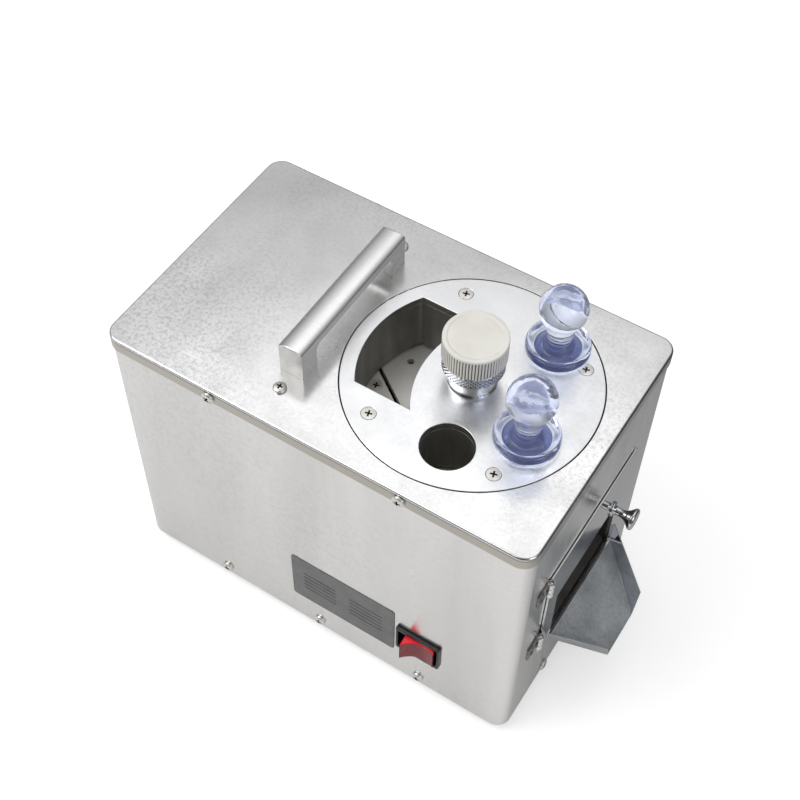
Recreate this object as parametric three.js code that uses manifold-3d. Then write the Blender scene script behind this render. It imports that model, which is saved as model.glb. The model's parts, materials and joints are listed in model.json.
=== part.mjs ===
// Tabletop herb slicer: a sheet-steel box with a motor on the left, a spinning cutter drum under the
// round feed plate on the right, and a hinged discharge door with a chute on the right end.
// Millimetres, +Z up. X runs along the long side towards the door, Y runs towards the back.
// The origin is the middle of the whole footprint, on the surface that the feet stand on.

import * as THREE from 'three';
import { mergeVertices } from 'three/addons/utils/BufferGeometryUtils.js';
import Module from 'manifold-3d';

const wasm = await Module();
wasm.setup();

// ---------------------------------------------------------------- driving dimensions
const SEAM = 0.1;            // gap between faces that are bolted together
const GAP = 0.3;             // gap round a piece that is cut by its neighbour
const RUNNING = 0.05;        // radial clearance of a shaft that turns
const BORE_PLAY = 0.5;       // radial clearance of a plunger in its port

const LID = { length: 280, depth: 172.5, top: 208.35, skirt: 9.7, sheet: 0.8, corner: 10, edge: 1.4 };
const BODY = { inset: 0.93, sheet: 1.2, corner: 9.5 };
const BASE = { floor: 2, flange: 14, sheet: 1.2 };
const FOOT = { height: 8, top: 11, bottom: 9, x: 118, y: 66 };
const DECK = { z: 48, sheet: 3, halfX: 128, halfY: 60, leg: 40 };

const PLATE = { x: 53.8, y: 0, radius: 74.2, thickness: 5, slit: 0.6 };
const CRESCENT = { radius: 65.5, halfHeight: 36.5, width: 36.1 };
const PORT_RADIUS = 15.4;
const PORTS = { open: [47.8, -75.8], side: [49.2, -23], back: [53.7, 56.5] };   // pitch radius, angle
const PLATE_SCREWS = [[-35.1, 52.4], [-35.9, -50.8], [41.6, -48.2], [50.1, 40.7]];

const CUTTER = { depth: 45, radius: 69.8, edge: 0.3, blade: 3, gauge: 4, slot: 2.5, offset: 30.7 };
const CUTTER_ANGLE = Math.atan2(-0.579, 0.815);
const JACK_HOLE = { radius: 2.15, x: 56.8, y: 12.5 };
const BLADE_BEVEL = { length: 160, width: 12, height: 3, tilt: -0.42, back: 1.5, drop: 1.1 };
const CARRIER = { top: -52.4, thickness: 7.6, window: 22, windowLength: 104, land: 34.6, hub: 14 };
const GAUGE_PIN = { radius: 6, length: 8 };
const SLINGER = { top: -74, height: 17, reach: 68, vane: 3 };
const DRUM = { inner: 72.5, wall: 1.5, bottom: 112 };
const DUCT = { halfY: 40, left: 76, low: 57, wall: 1.5 };
const THROAT = { radius: 71.8, bottom: -43 };

const SHAFT = { radius: 6.9, bore: 7, bottom: 16 };
const BEARING = { radius: 13, width: 8 };
const HOUSING = { radius: 20, top: 108, flange: 30 };
const MOTOR = { x: -74, radius: 43, height: 112, shaft: 6, bore: 6.2 };
const BELT = { low: 20, high: 34, driven: 38, motor: 19, thickness: 5, flange: 2 };

const KNOB = { radius: 18.5, low: 22.4, high: 38.3, flutes: 36 };
const RING = { radius: 17, low: 12.2, high: 22.1 };
const BOSS = { radius: 13.5, neck: 8.8, ringBore: 9.1, bore: 4.2 };
const SPINDLE = { radius: 4, bottom: -38, top: 32 };
const SLEEVE = { radius: 9, bore: 4.1, top: -12 };

const HANDLE = { x: -32.5, y: 1.1, width: 15.6, length: 105.7, height: 22.8, leg: 14, bar: 7 };
const HANDLE_SCREW_Y = 63.2;
const PLUNGER = { rod: PORT_RADIUS - BORE_PLAY, reach: 36, flange: 18.8, rim: 7.5, ball: 14, centre: 35.5, neck: 7 };

const BLADE_SCREW = { x: -47.7, y: -38.7, head: 3.9, length: 8 };
const SWITCH = { x: 76, z: 48.8, length: 31, height: 25, proud: 2.3, depth: 16, pivot: -3, tilt: 14.1 };
const ROCKER = { height: 17.8, tip: 10.8, rise: 10.26, dip: 6.4, foot: 8 };
const NAMEPLATE = { x: 20.5, z: 50.4, length: 76, height: 47, thickness: 0.5, corner: 4 };
const INLET = { x: -80, z: 34, width: 28, height: 21, flangeX: 50, flangeZ: 24, proud: 2.5, depth: 16 };
const VENT = { x: -72, z: 122, length: 34, height: 3, pitch: 10, rows: 5, spread: 42.2 };

const DOOR = { low: 52, high: 143, back: 54.7, sheet: 1.2, window: 38, sill: 57.2, head: 104 };
const HINGE = { off: 2.2, y: -54.4, radius: 2.1, pin: 1.2, length: 14, tops: [144.3, 79.7], leaf: 12 };
const DOOR_KNOB = { y: 32, z: 105.4, length: 15.8 };
const CHUTE = { z: 56.6, front: -41, back: 43, reach: 33.5, drop: 28.1, halfLip: 17, sheet: 0.9 };

const SCREW = { head: 4, shank: 2, hole: 2.2, rise: 2.4, length: 8, sides: 10 };
const FLAT_SCREW = { head: 4.2, length: 15.8, taper: 2.3 };
const SKIRT_SCREW_X = [-65.2, 60];
const SKIRT_SCREW_Z = 202.3;
const BASE_SCREW_X = [-72.1, 1.9, 76.7];
const BASE_SCREW_Z = 7.4;
const END_SCREW_Y = -35;

const bodyHalfX = LID.length / 2 - BODY.inset;
const bodyHalfY = LID.depth / 2 - BODY.inset;
const cutterTop = -CUTTER.depth;
const doorInside = bodyHalfX + GAP;
const doorOutside = doorInside + DOOR.sheet;
const hingeX = bodyHalfX + HINGE.off;
const hingeThird = HINGE.length / 3;
const rockerFront = SWITCH.pivot + Math.hypot(ROCKER.tip, ROCKER.rise) *
  Math.cos(Math.atan2(ROCKER.tip, ROCKER.rise) - THREE.MathUtils.degToRad(SWITCH.tilt));
const shiftX = -(doorOutside + CHUTE.reach - LID.length / 2) / 2;
const shiftY = ((bodyHalfY + rockerFront) - (LID.depth / 2 + SCREW.rise)) / 2;

// ---------------------------------------------------------------- finishes
const finish = (colour, roughness, metalness, extra = {}) =>
  () => new THREE.MeshStandardMaterial({ color: colour, roughness, metalness, ...extra });
const polishedSteel = finish(0xc9cbcc, 0.16, 1);
const brushedSteel = finish(0xbfbfbb, 0.34, 1);
const dullSteel = finish(0x6f6f6b, 0.5, 1);
const chrome = finish(0xd8dadb, 0.08, 1);
const castAluminium = finish(0x9a9b99, 0.55, 0.9);
const blackRubber = finish(0x191919, 0.85, 0);
const blackPlastic = finish(0x151515, 0.4, 0);
const ivoryPlastic = finish(0xd3cfc0, 0.5, 0);
const redPlastic = finish(0xb3141b, 0.25, 0);
const greyPlate = finish(0x5c5d5d, 0.45, 0.6);
const clearPlastic = finish(0xcfdcf0, 0.08, 0, { transparent: true, opacity: 0.4 });
const motorPaint = finish(0x3b4347, 0.6, 0.1);

// ---------------------------------------------------------------- solids
function signedVolume(position, index) {
  const a = new THREE.Vector3();
  const b = new THREE.Vector3();
  const c = new THREE.Vector3();
  let total = 0;
  for (let i = 0; i < index.length; i += 3) {
    a.fromBufferAttribute(position, index[i]);
    b.fromBufferAttribute(position, index[i + 1]);
    c.fromBufferAttribute(position, index[i + 2]);
    total += a.dot(b.cross(c)) / 6;
  }
  return total;
}

function toSolid(geometry) {
  geometry.deleteAttribute('normal');
  geometry.deleteAttribute('uv');
  const merged = mergeVertices(geometry, 1e-4);
  const index = Uint32Array.from(merged.index.array);
  if (signedVolume(merged.attributes.position, index) < 0) index.reverse();
  return new wasm.Manifold(new wasm.Mesh({
    numProp: 3,
    vertProperties: Float32Array.from(merged.attributes.position.array),
    triVerts: index,
  }));
}

function toGeometry(solid) {
  const mesh = solid.getMesh();
  const geometry = new THREE.BufferGeometry();
  geometry.setAttribute('position', new THREE.BufferAttribute(mesh.vertProperties, 3));
  geometry.setIndex(new THREE.BufferAttribute(mesh.triVerts, 1));
  geometry.computeVertexNormals();
  return geometry;
}

const cut = (base, ...tools) => tools.reduce((left, tool) => left.subtract(tool), base);
const join = (base, ...others) => others.reduce((left, other) => left.add(other), base);

function block([x0, x1], [y0, y1], [z0, z1]) {
  const geometry = new THREE.BoxGeometry(x1 - x0, y1 - y0, z1 - z0);
  return toSolid(geometry.translate((x0 + x1) / 2, (y0 + y1) / 2, (z0 + z1) / 2));
}

function rod(radius, z0, z1, { x = 0, y = 0, top = radius, sides = 20 } = {}) {
  const geometry = new THREE.CylinderGeometry(top, radius, z1 - z0, sides);
  geometry.rotateX(Math.PI / 2);
  return toSolid(geometry.translate(x, y, (z0 + z1) / 2));
}

function turned(profile, sides = 20) {
  const points = profile.map(([r, z]) => new THREE.Vector2(r, z));
  return toSolid(new THREE.LatheGeometry(points, sides).rotateX(Math.PI / 2));
}

function ring(inner, outer, z0, z1, sides = 20) {
  return turned([[inner, z0], [outer, z0], [outer, z1], [inner, z1], [inner, z0]], sides);
}

function prism(shape, z0, z1, curveSegments = 12) {
  const geometry = new THREE.ExtrudeGeometry(shape, { depth: z1 - z0, bevelEnabled: false, curveSegments });
  return toSolid(geometry.translate(0, 0, z0));
}

// A prism whose outline is drawn in X and Z, extruded from y0 to y1.
function sidePrism(shape, y0, y1, curveSegments = 12) {
  const geometry = new THREE.ExtrudeGeometry(shape, { depth: y1 - y0, bevelEnabled: false, curveSegments });
  return toSolid(geometry.rotateX(Math.PI / 2).translate(0, y1, 0));
}

function outline(points) {
  return new THREE.Shape(points.map(([x, y]) => new THREE.Vector2(x, y)));
}

function roundedRectangle(halfX, halfY, radius) {
  const shape = new THREE.Shape();
  shape.absarc(halfX - radius, halfY - radius, radius, 0, Math.PI / 2);
  shape.absarc(radius - halfX, halfY - radius, radius, Math.PI / 2, Math.PI);
  shape.absarc(radius - halfX, radius - halfY, radius, Math.PI, Math.PI * 1.5);
  shape.absarc(halfX - radius, radius - halfY, radius, Math.PI * 1.5, Math.PI * 2);
  return shape;
}

// A flat sheet with four coplanar corners, thickened on one side.
function sheet(corners, thickness) {
  const points = corners.map((p) => new THREE.Vector3(...p));
  const along = points[1].clone().sub(points[0]);
  const normal = along.cross(points[3].clone().sub(points[0])).normalize().multiplyScalar(thickness);
  const all = [...points, ...points.map((p) => p.clone().add(normal))];
  const geometry = new THREE.BufferGeometry().setFromPoints(all);
  geometry.setIndex([0, 2, 1, 0, 3, 2, 4, 5, 6, 4, 6, 7, 0, 1, 5, 0, 5, 4,
    1, 2, 6, 1, 6, 5, 2, 3, 7, 2, 7, 6, 3, 0, 4, 3, 4, 7]);
  return toSolid(geometry);
}

// ---------------------------------------------------------------- scene graph
const slicer = new THREE.Group();
const frame = new THREE.Group();     // z = 0 at the lower edge of the body
const head = new THREE.Group();      // z = 0 at the top of the feed plate, on its axis
frame.position.set(shiftX, shiftY, FOOT.height);
head.position.set(PLATE.x, PLATE.y, LID.top);
frame.add(head);
slicer.add(frame);

function piece(name, solid, material, group = frame, place = [0, 0, 0], turn = [0, 0, 0]) {
  const mesh = new THREE.Mesh(toGeometry(solid), material());
  mesh.name = name;
  mesh.position.set(...place);
  mesh.rotation.set(...turn);
  group.add(mesh);
}

const FACING = {
  up: [0, 0, 0],
  front: [Math.PI / 2, 0, 0],
  back: [-Math.PI / 2, 0, 0],
  right: [0, Math.PI / 2, 0],
};
const polar = (radius, degrees) => [
  radius * Math.cos(THREE.MathUtils.degToRad(degrees)),
  radius * Math.sin(THREE.MathUtils.degToRad(degrees)),
];

// ---------------------------------------------------------------- fasteners
function panScrew() {
  const { head: r, shank, rise, length, sides } = SCREW;
  return turned([[0, -length], [shank, -length], [shank, SEAM], [r, SEAM],
    [r, 0.9], [r * 0.72, rise * 0.86], [0, rise]], sides);
}

function flatScrew(radius, length, grow = 0) {
  const shank = SCREW.shank + grow;
  return turned([[0, -length - grow], [shank, -length - grow], [shank, -FLAT_SCREW.taper],
    [radius + grow, 0], [radius + grow, grow], [0, grow]], SCREW.sides);
}

function hole(x, y, z, facing, reach = 12) {
  const geometry = new THREE.CylinderGeometry(SCREW.hole, SCREW.hole, reach, SCREW.sides);
  if (facing === 'right') geometry.rotateZ(Math.PI / 2);
  if (facing === 'up') geometry.rotateX(Math.PI / 2);
  return toSolid(geometry.translate(x, y, z));
}

const skirtHoles = () => SKIRT_SCREW_X.flatMap((x) =>
  [-1, 1].map((side) => hole(x, side * bodyHalfY, SKIRT_SCREW_Z, 'front')));
const baseHoles = () => [
  ...BASE_SCREW_X.map((x) => hole(x, -bodyHalfY, BASE_SCREW_Z, 'front')),
  hole(bodyHalfX, END_SCREW_Y, BASE_SCREW_Z, 'right'),
];

function addCaseScrews() {
  const lidLedge = LID.depth / 2;
  SKIRT_SCREW_X.forEach((x, i) => {
    const side = i ? 'right' : 'left';
    piece(`skirt_screw_front_${side}`, panScrew(), polishedSteel, frame,
      [x, -lidLedge, SKIRT_SCREW_Z], FACING.front);
    piece(`skirt_screw_back_${side}`, panScrew(), polishedSteel, frame,
      [x, lidLedge, SKIRT_SCREW_Z], FACING.back);
  });
  BASE_SCREW_X.forEach((x, i) => piece(`base_screw_front_${i + 1}`, panScrew(), polishedSteel, frame,
    [x, -bodyHalfY, BASE_SCREW_Z], FACING.front));
  piece('base_screw_right', panScrew(), polishedSteel, frame,
    [bodyHalfX, END_SCREW_Y, BASE_SCREW_Z], FACING.right);
  [-1, 1].forEach((side) => piece(side < 0 ? 'lid_screw_front' : 'lid_screw_back', panScrew(),
    polishedSteel, frame, [HANDLE.x, side * HANDLE_SCREW_Y, LID.top], FACING.up));
}

// ---------------------------------------------------------------- case
function lid() {
  const shape = roundedRectangle(LID.length / 2 - LID.edge, LID.depth / 2 - LID.edge, LID.corner - LID.edge);
  const shell = new THREE.ExtrudeGeometry(shape, {
    depth: 2 * LID.skirt,
    bevelThickness: LID.edge,
    bevelSize: LID.edge,
    bevelSegments: 2,
    curveSegments: 6,
  });
  const outer = toSolid(shell.translate(0, 0, LID.top - LID.edge - 2 * LID.skirt));
  const innerShape = roundedRectangle(LID.length / 2 - LID.sheet, LID.depth / 2 - LID.sheet,
    LID.corner - LID.sheet);
  const inner = prism(innerShape, LID.top - LID.skirt - 1, LID.top - LID.sheet, 4);
  const below = block([-LID.length, LID.length], [-LID.depth, LID.depth],
    [LID.top - 4 * LID.skirt, LID.top - LID.skirt]);
  const mouth = rod(PLATE.radius + PLATE.slit, LID.top - 5, LID.top + 5,
    { x: PLATE.x, y: PLATE.y, sides: 64 });
  const screwHoles = [-1, 1].map((side) => hole(HANDLE.x, side * HANDLE_SCREW_Y, LID.top, 'up'));
  return cut(outer, below, inner, mouth, ...screwHoles, ...skirtHoles());
}

function bodyShell() {
  const top = LID.top - LID.sheet - GAP;
  const outer = prism(roundedRectangle(bodyHalfX, bodyHalfY, BODY.corner), 0, top, 6);
  const inner = prism(roundedRectangle(bodyHalfX - BODY.sheet, bodyHalfY - BODY.sheet,
    BODY.corner - BODY.sheet), -1, top + 1, 4);
  const window = block([bodyHalfX - 5, bodyHalfX + 5], [-DUCT.halfY, DUCT.halfY], [DUCT.low, DRUM.bottom - 2]);
  const switchHole = block([SWITCH.x - SWITCH.length / 2 + 1.3, SWITCH.x + SWITCH.length / 2 - 1.3],
    [-bodyHalfY - 5, -bodyHalfY + 5],
    [SWITCH.z - SWITCH.height / 2 + 1.3, SWITCH.z + SWITCH.height / 2 - 1.3]);
  const inletHole = block([INLET.x - INLET.width / 2 - GAP, INLET.x + INLET.width / 2 + GAP],
    [bodyHalfY - 5, bodyHalfY + 5], [INLET.z - INLET.height / 2 - GAP, INLET.z + INLET.height / 2 + GAP]);
  const vents = [];
  for (let row = 0; row < VENT.rows; row += 1) {
    const z = VENT.z + row * VENT.pitch;
    for (const side of [-1, 1]) {
      const x = VENT.x + side * VENT.spread / 2;
      vents.push(block([x - VENT.length / 2, x + VENT.length / 2], [bodyHalfY - 5, bodyHalfY + 5],
        [z, z + VENT.height]));
    }
  }
  return cut(outer, inner, window, switchHole, inletHole, ...vents, ...skirtHoles(), ...baseHoles());
}

function basePlate() {
  const halfX = bodyHalfX - BODY.sheet - SEAM;
  const halfY = bodyHalfY - BODY.sheet - SEAM;
  const corner = BODY.corner - BODY.sheet;
  const outer = prism(roundedRectangle(halfX, halfY, corner), 0, BASE.flange, 4);
  const inner = prism(roundedRectangle(halfX - BASE.sheet, halfY - BASE.sheet, corner - BASE.sheet),
    BASE.floor, BASE.flange + 1, 3);
  return cut(outer, inner, ...baseHoles());
}

function addFeet() {
  for (const [label, sx, sy] of [['front_left', -1, -1], ['front_right', 1, -1],
    ['back_left', -1, 1], ['back_right', 1, 1]]) {
    piece(`foot_${label}`, rod(FOOT.bottom, -FOOT.height, -SEAM, { top: FOOT.top }),
      blackRubber, frame, [sx * FOOT.x, sy * FOOT.y, 0]);
  }
}

function driveDeck() {
  const top = block([-DECK.halfX, DECK.halfX], [-DECK.halfY, DECK.halfY], [DECK.z - DECK.sheet, DECK.z]);
  const legs = [-1, 1].map((side) => {
    const outer = side * DECK.halfX;
    const inner = side * (DECK.halfX - DECK.sheet);
    return block([Math.min(outer, inner), Math.max(outer, inner)], [-DECK.leg, DECK.leg],
      [BASE.floor + SEAM, DECK.z]);
  });
  const shaftHole = rod(SHAFT.radius + 3, 0, DECK.z + 1, { x: PLATE.x, y: PLATE.y });
  const motorHole = rod(MOTOR.shaft + 3, 0, DECK.z + 1, { x: MOTOR.x });
  return cut(join(top, ...legs), shaftHole, motorHole);
}

// ---------------------------------------------------------------- feed head
function crescentShape() {
  const { radius, halfHeight, width } = CRESCENT;
  const reach = Math.asin(halfHeight / radius);
  const shape = new THREE.Shape();
  shape.absarc(0, 0, radius, Math.PI - reach, Math.PI + reach, false);
  shape.absarc(width, 0, radius, Math.PI + reach, Math.PI - reach, true);
  return shape;
}

function portCuts(z0, z1) {
  const rounds = Object.values(PORTS).map(([radius, degrees]) => {
    const [x, y] = polar(radius, degrees);
    return rod(PORT_RADIUS, z0, z1, { x, y, sides: 28 });
  });
  return [prism(crescentShape(), z0, z1, 8), ...rounds];
}

const plateScrewCuts = () => PLATE_SCREWS.map(([x, y]) =>
  toSolid(toGeometry(flatScrew(FLAT_SCREW.head, FLAT_SCREW.length, SEAM)).translate(x, y, 0)));

function feedPlate() {
  const disc = rod(PLATE.radius, -PLATE.thickness, 0, { sides: 64 });
  return cut(disc, ...portCuts(-PLATE.thickness - 1, 1), rod(BOSS.bore, -9, 1, { sides: 20 }),
    ...plateScrewCuts());
}

function feedThroat() {
  const top = -PLATE.thickness - SEAM;
  const core = rod(THROAT.radius, THROAT.bottom, top, { sides: 48 });
  return cut(core, ...portCuts(THROAT.bottom - 1, top + 1),
    rod(SLEEVE.radius + RUNNING, THROAT.bottom - 1, top + 1), ...plateScrewCuts());
}

function addPlateScrews() {
  const labels = ['back_left', 'front_left', 'front_right', 'back_right'];
  PLATE_SCREWS.forEach(([x, y], i) => {
    piece(`plate_screw_${labels[i]}`, flatScrew(FLAT_SCREW.head, FLAT_SCREW.length), polishedSteel, head,
      [x, y, 0]);
  });
}

function drum() {
  const bottom = DRUM.bottom - LID.top;
  const top = -PLATE.thickness - SEAM;
  const outer = rod(DRUM.inner + DRUM.wall, bottom, top, { sides: 48 });
  const inner = rod(DRUM.inner, bottom + DRUM.wall, top + 1, { sides: 48 });
  const drop = block([DUCT.left - PLATE.x + 2, DRUM.inner - 6], [-DUCT.halfY + 4, DUCT.halfY - 4],
    [bottom - 1, bottom + 5]);
  return cut(outer, inner, drop, rod(SHAFT.radius + 2, bottom - 1, bottom + 5));
}

// An open-topped box with a sloping floor that leads the slices from the drum to the door.
function dischargeDuct() {
  const right = bodyHalfX - BODY.sheet - GAP;
  const top = DRUM.bottom - GAP;
  const { left, low, wall, halfY } = DUCT;
  const outside = outline([[left, top], [right, top], [right, low - wall], [left, top - 8]]);
  const inside = outline([[left + wall, top + 1], [right + 1, top + 1], [right + 1, low - 1],
    [right, low], [left + wall, top - 6]]);
  return cut(sidePrism(outside, -halfY + SEAM, halfY - SEAM),
    sidePrism(inside, -halfY + wall, halfY - wall));
}

// ---------------------------------------------------------------- thickness control
function flutedOutline() {
  const step = Math.PI / KNOB.flutes;
  const points = [];
  for (let i = 0; i < 2 * KNOB.flutes; i += 1) {
    const radius = i % 2 ? KNOB.radius : KNOB.radius - 0.7;
    points.push([radius * Math.cos(i * step), radius * Math.sin(i * step)]);
  }
  return outline(points);
}

function knobCap() {
  const shoulder = KNOB.high - 2.2;
  const grip = prism(flutedOutline(), KNOB.low, shoulder);
  const crown = turned([[0, shoulder - 1], [KNOB.radius - 1.2, shoulder - 1], [KNOB.radius - 1.2, shoulder],
    [KNOB.radius - 2.6, KNOB.high - 0.5], [0, KNOB.high]], 32);
  return cut(join(grip, crown), rod(SPINDLE.radius + RUNNING, KNOB.low - 1, SPINDLE.top + 0.5, { sides: 20 }));
}

function lockRing() {
  const { radius, low, high } = RING;
  return turned([[BOSS.ringBore, low], [radius - 1, low], [radius, low + 1], [radius, high - 1],
    [radius - 1, high], [BOSS.ringBore, high], [BOSS.ringBore, low]], 32);
}

function knobBoss() {
  const neckTop = RING.high - 0.3;
  return cut(turned([[0, SEAM], [BOSS.radius - 1.5, SEAM], [BOSS.radius, 2.5], [BOSS.radius, RING.low - 1.2],
    [BOSS.radius - 1, RING.low - 0.2], [BOSS.neck, RING.low - 0.2], [BOSS.neck, neckTop], [0, neckTop]]),
  rod(BOSS.bore, -1, neckTop + 1, { sides: 20 }));
}

function adjustingSpindle() {
  const { radius, bottom, top } = SPINDLE;
  const collar = -PLATE.thickness - SEAM;
  return turned([[0, bottom], [radius - 0.6, bottom], [radius, bottom + 0.6], [radius, collar - 4],
    [7, collar - 4], [7, collar - GAP], [radius, collar - GAP], [radius, top], [0, top]], 20);
}

function pushSleeve() {
  return ring(SLEEVE.bore, SLEEVE.radius, cutterTop + GAP, SLEEVE.top);
}

// ---------------------------------------------------------------- cutter
// Everything here is drawn with the blade slots parallel to X, then turned to its rest angle.
const TURNED = [0, 0, CUTTER_ANGLE];

// The part of a disc that lies between two lines parallel to X.
function discStrip(radius, low, high, z0, z1) {
  const slab = block([-radius - 1, radius + 1], [low, high], [z0, z1]);
  return rod(radius, z0, z1, { sides: 48 }).intersect(slab);
}

function gaugePlate() {
  const bottom = cutterTop - CUTTER.gauge;
  const plate = discStrip(CUTTER.radius, -CUTTER.offset, CUTTER.offset, bottom, cutterTop);
  const pin = rod(GAUGE_PIN.radius, bottom - GAUGE_PIN.length, bottom + 1);
  const jackHoles = [-1, 1].map((side) => rod(JACK_HOLE.radius, bottom - 1, cutterTop + 1,
    { x: side * JACK_HOLE.x, y: side * JACK_HOLE.y, sides: 16 }));
  return cut(join(plate, pin), ...jackHoles);
}

// The screw that clamps a blade sits just outside the cutting edge, near one end of it.
const bladeScrewAt = (top, grow) =>
  toSolid(toGeometry(flatScrew(BLADE_SCREW.head, BLADE_SCREW.length, grow))
    .translate(BLADE_SCREW.x, BLADE_SCREW.y, top));

function blade() {
  const top = cutterTop + CUTTER.edge;
  const edge = -(CUTTER.offset + CUTTER.slot);
  const plate = discStrip(CUTTER.radius, -CUTTER.radius, edge, top - CUTTER.blade, top);
  const { length, width, height, tilt, back, drop } = BLADE_BEVEL;
  const wedge = new THREE.BoxGeometry(length, width, height).rotateX(tilt)
    .translate(0, edge - back, top - CUTTER.blade - drop);
  return cut(plate, toSolid(wedge), bladeScrewAt(top, SEAM));
}

function cutterCarrier() {
  const bottom = CARRIER.top - CARRIER.thickness;
  const disc = rod(CUTTER.radius - GAP, bottom, CARRIER.top, { sides: 48 });
  const landTop = cutterTop + CUTTER.edge - CUTTER.blade - SEAM;
  const lands = [[-CUTTER.radius, -CARRIER.land], [CARRIER.land, CUTTER.radius]].map(([low, high]) =>
    discStrip(CUTTER.radius - GAP, low, high, CARRIER.top - 1, landTop));
  const hub = rod(CARRIER.hub, SLINGER.top + 2, bottom + 1);
  const reach = CARRIER.windowLength / 2;
  const windows = [-1, 1].map((side) => block([-reach, reach],
    side < 0 ? [-CUTTER.offset - 3, -CARRIER.window] : [CARRIER.window, CUTTER.offset + 3],
    [bottom - 1, CARRIER.top + 1]));
  const turnedScrew = toSolid(toGeometry(bladeScrewAt(cutterTop + CUTTER.edge, SEAM)).rotateZ(Math.PI));
  return cut(join(disc, ...lands, hub), ...windows, bladeScrewAt(cutterTop + CUTTER.edge, SEAM), turnedScrew,
    rod(GAUGE_PIN.radius + SEAM, bottom - 1, CARRIER.top + 1),
    rod(SHAFT.bore, SLINGER.top, bottom - 0.4));
}

function slinger() {
  const { top, height, reach, vane } = SLINGER;
  const vanes = [0, 1].map((i) => (i
    ? block([-reach, reach], [-vane / 2, vane / 2], [top - height, top - 2])
    : block([-vane / 2, vane / 2], [-reach, reach], [top - height, top - 2])));
  return cut(join(rod(15, top - height, top), ...vanes), rod(SHAFT.bore, top - height - 1, top + 1));
}

function mainShaft() {
  const top = CARRIER.top - CARRIER.thickness - 1;
  const bottom = SHAFT.bottom - LID.top;
  return turned([[0, bottom], [SHAFT.radius - 0.8, bottom], [SHAFT.radius, bottom + 0.8],
    [SHAFT.radius, top], [0, top]]);
}

function bearingHousing() {
  const { radius, top, flange } = HOUSING;
  const low = DECK.z + SEAM;
  const body = turned([[0, low], [flange, low], [flange, low + 6], [radius, low + 6], [radius, top],
    [0, top]]);
  const seat = BEARING.radius + SEAM;
  return cut(body, rod(SHAFT.radius + 2, low - 1, top + 1),
    rod(seat, low - 1, low + BEARING.width),
    rod(seat, top - BEARING.width, top + 1));
}

// ---------------------------------------------------------------- drive
function pulley(pitchRadius, bore) {
  const { low, high, flange, thickness } = BELT;
  const rim = pitchRadius + thickness + 1;
  return turned([[bore, low], [rim, low], [rim, low + flange], [pitchRadius, low + flange],
    [pitchRadius, high - flange], [rim, high - flange], [rim, high], [bore, high], [bore, low]]);
}

function beltLoop(motorRadius, drivenRadius) {
  const span = PLATE.x - MOTOR.x;
  const lean = Math.asin((drivenRadius - motorRadius) / span);
  const tangent = Math.PI / 2 + lean;
  const loop = new THREE.Shape();
  loop.absarc(MOTOR.x, 0, motorRadius, tangent, 2 * Math.PI - tangent);
  loop.absarc(PLATE.x, 0, drivenRadius, -tangent, tangent);
  return loop;
}

function driveBelt() {
  const low = BELT.low + BELT.flange + GAP;
  const high = BELT.high - BELT.flange - GAP;
  const outer = prism(beltLoop(BELT.motor + BELT.thickness, BELT.driven + BELT.thickness), low, high, 14);
  const inner = prism(beltLoop(BELT.motor + GAP, BELT.driven + GAP), low - 1, high + 1, 14);
  return cut(outer, inner);
}

function motorBody() {
  const low = DECK.z + SEAM;
  const high = low + MOTOR.height;
  const { radius } = MOTOR;
  return turned([[MOTOR.bore, low], [radius - 5, low], [radius, low + 5], [radius, low + 20],
    [radius - 2, low + 22], [radius - 2, high - 22], [radius, high - 20], [radius, high - 5],
    [radius - 5, high], [0, high], [0, low + 24], [MOTOR.bore, low + 24], [MOTOR.bore, low]]);
}

// ---------------------------------------------------------------- handle, switch, inlet, plate
function handle() {
  const { width, length, height, leg, bar } = HANDLE;
  const half = length / 2;
  const side = new THREE.Shape();
  side.moveTo(-half, SEAM);
  side.lineTo(-half, height - 2.5);
  side.quadraticCurveTo(-half, height, -half + 2.5, height);
  side.lineTo(half - 2.5, height);
  side.quadraticCurveTo(half, height, half, height - 2.5);
  side.lineTo(half, SEAM);
  side.lineTo(half - leg, SEAM);
  side.lineTo(half - leg, height - bar - 5);
  side.quadraticCurveTo(half - leg, height - bar, half - leg - 5, height - bar);
  side.lineTo(leg + 5 - half, height - bar);
  side.quadraticCurveTo(leg - half, height - bar, leg - half, height - bar - 5);
  side.lineTo(leg - half, SEAM);
  const bridge = new THREE.ExtrudeGeometry(side, { depth: width, bevelEnabled: false, curveSegments: 6 });
  bridge.translate(0, 0, -width / 2).rotateX(Math.PI / 2).rotateZ(Math.PI / 2);
  const crown = new THREE.Shape();
  crown.moveTo(-width / 2, 0);
  crown.lineTo(width / 2, 0);
  crown.lineTo(width / 2, height - 4.2);
  crown.bezierCurveTo(width / 2 - 1, height + 1.4, 1 - width / 2, height + 1.4, -width / 2, height - 4.2);
  return toSolid(bridge).intersect(sidePrism(crown, -half - 1, half + 1, 12));
}

function switchBezel() {
  const { length, height, proud, depth } = SWITCH;
  const rim = block([-length / 2, length / 2], [-proud, -SEAM], [-height / 2, height / 2]);
  const body = block([1.5 - length / 2, length / 2 - 1.5], [-1, depth],
    [1.5 - height / 2, height / 2 - 1.5]);
  const pocket = block([-13.6, 13.6], [-proud - 1, depth - 2],
    [-ROCKER.height / 2 - GAP, ROCKER.height / 2 + GAP]);
  return cut(join(rim, body), pocket);
}

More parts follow.
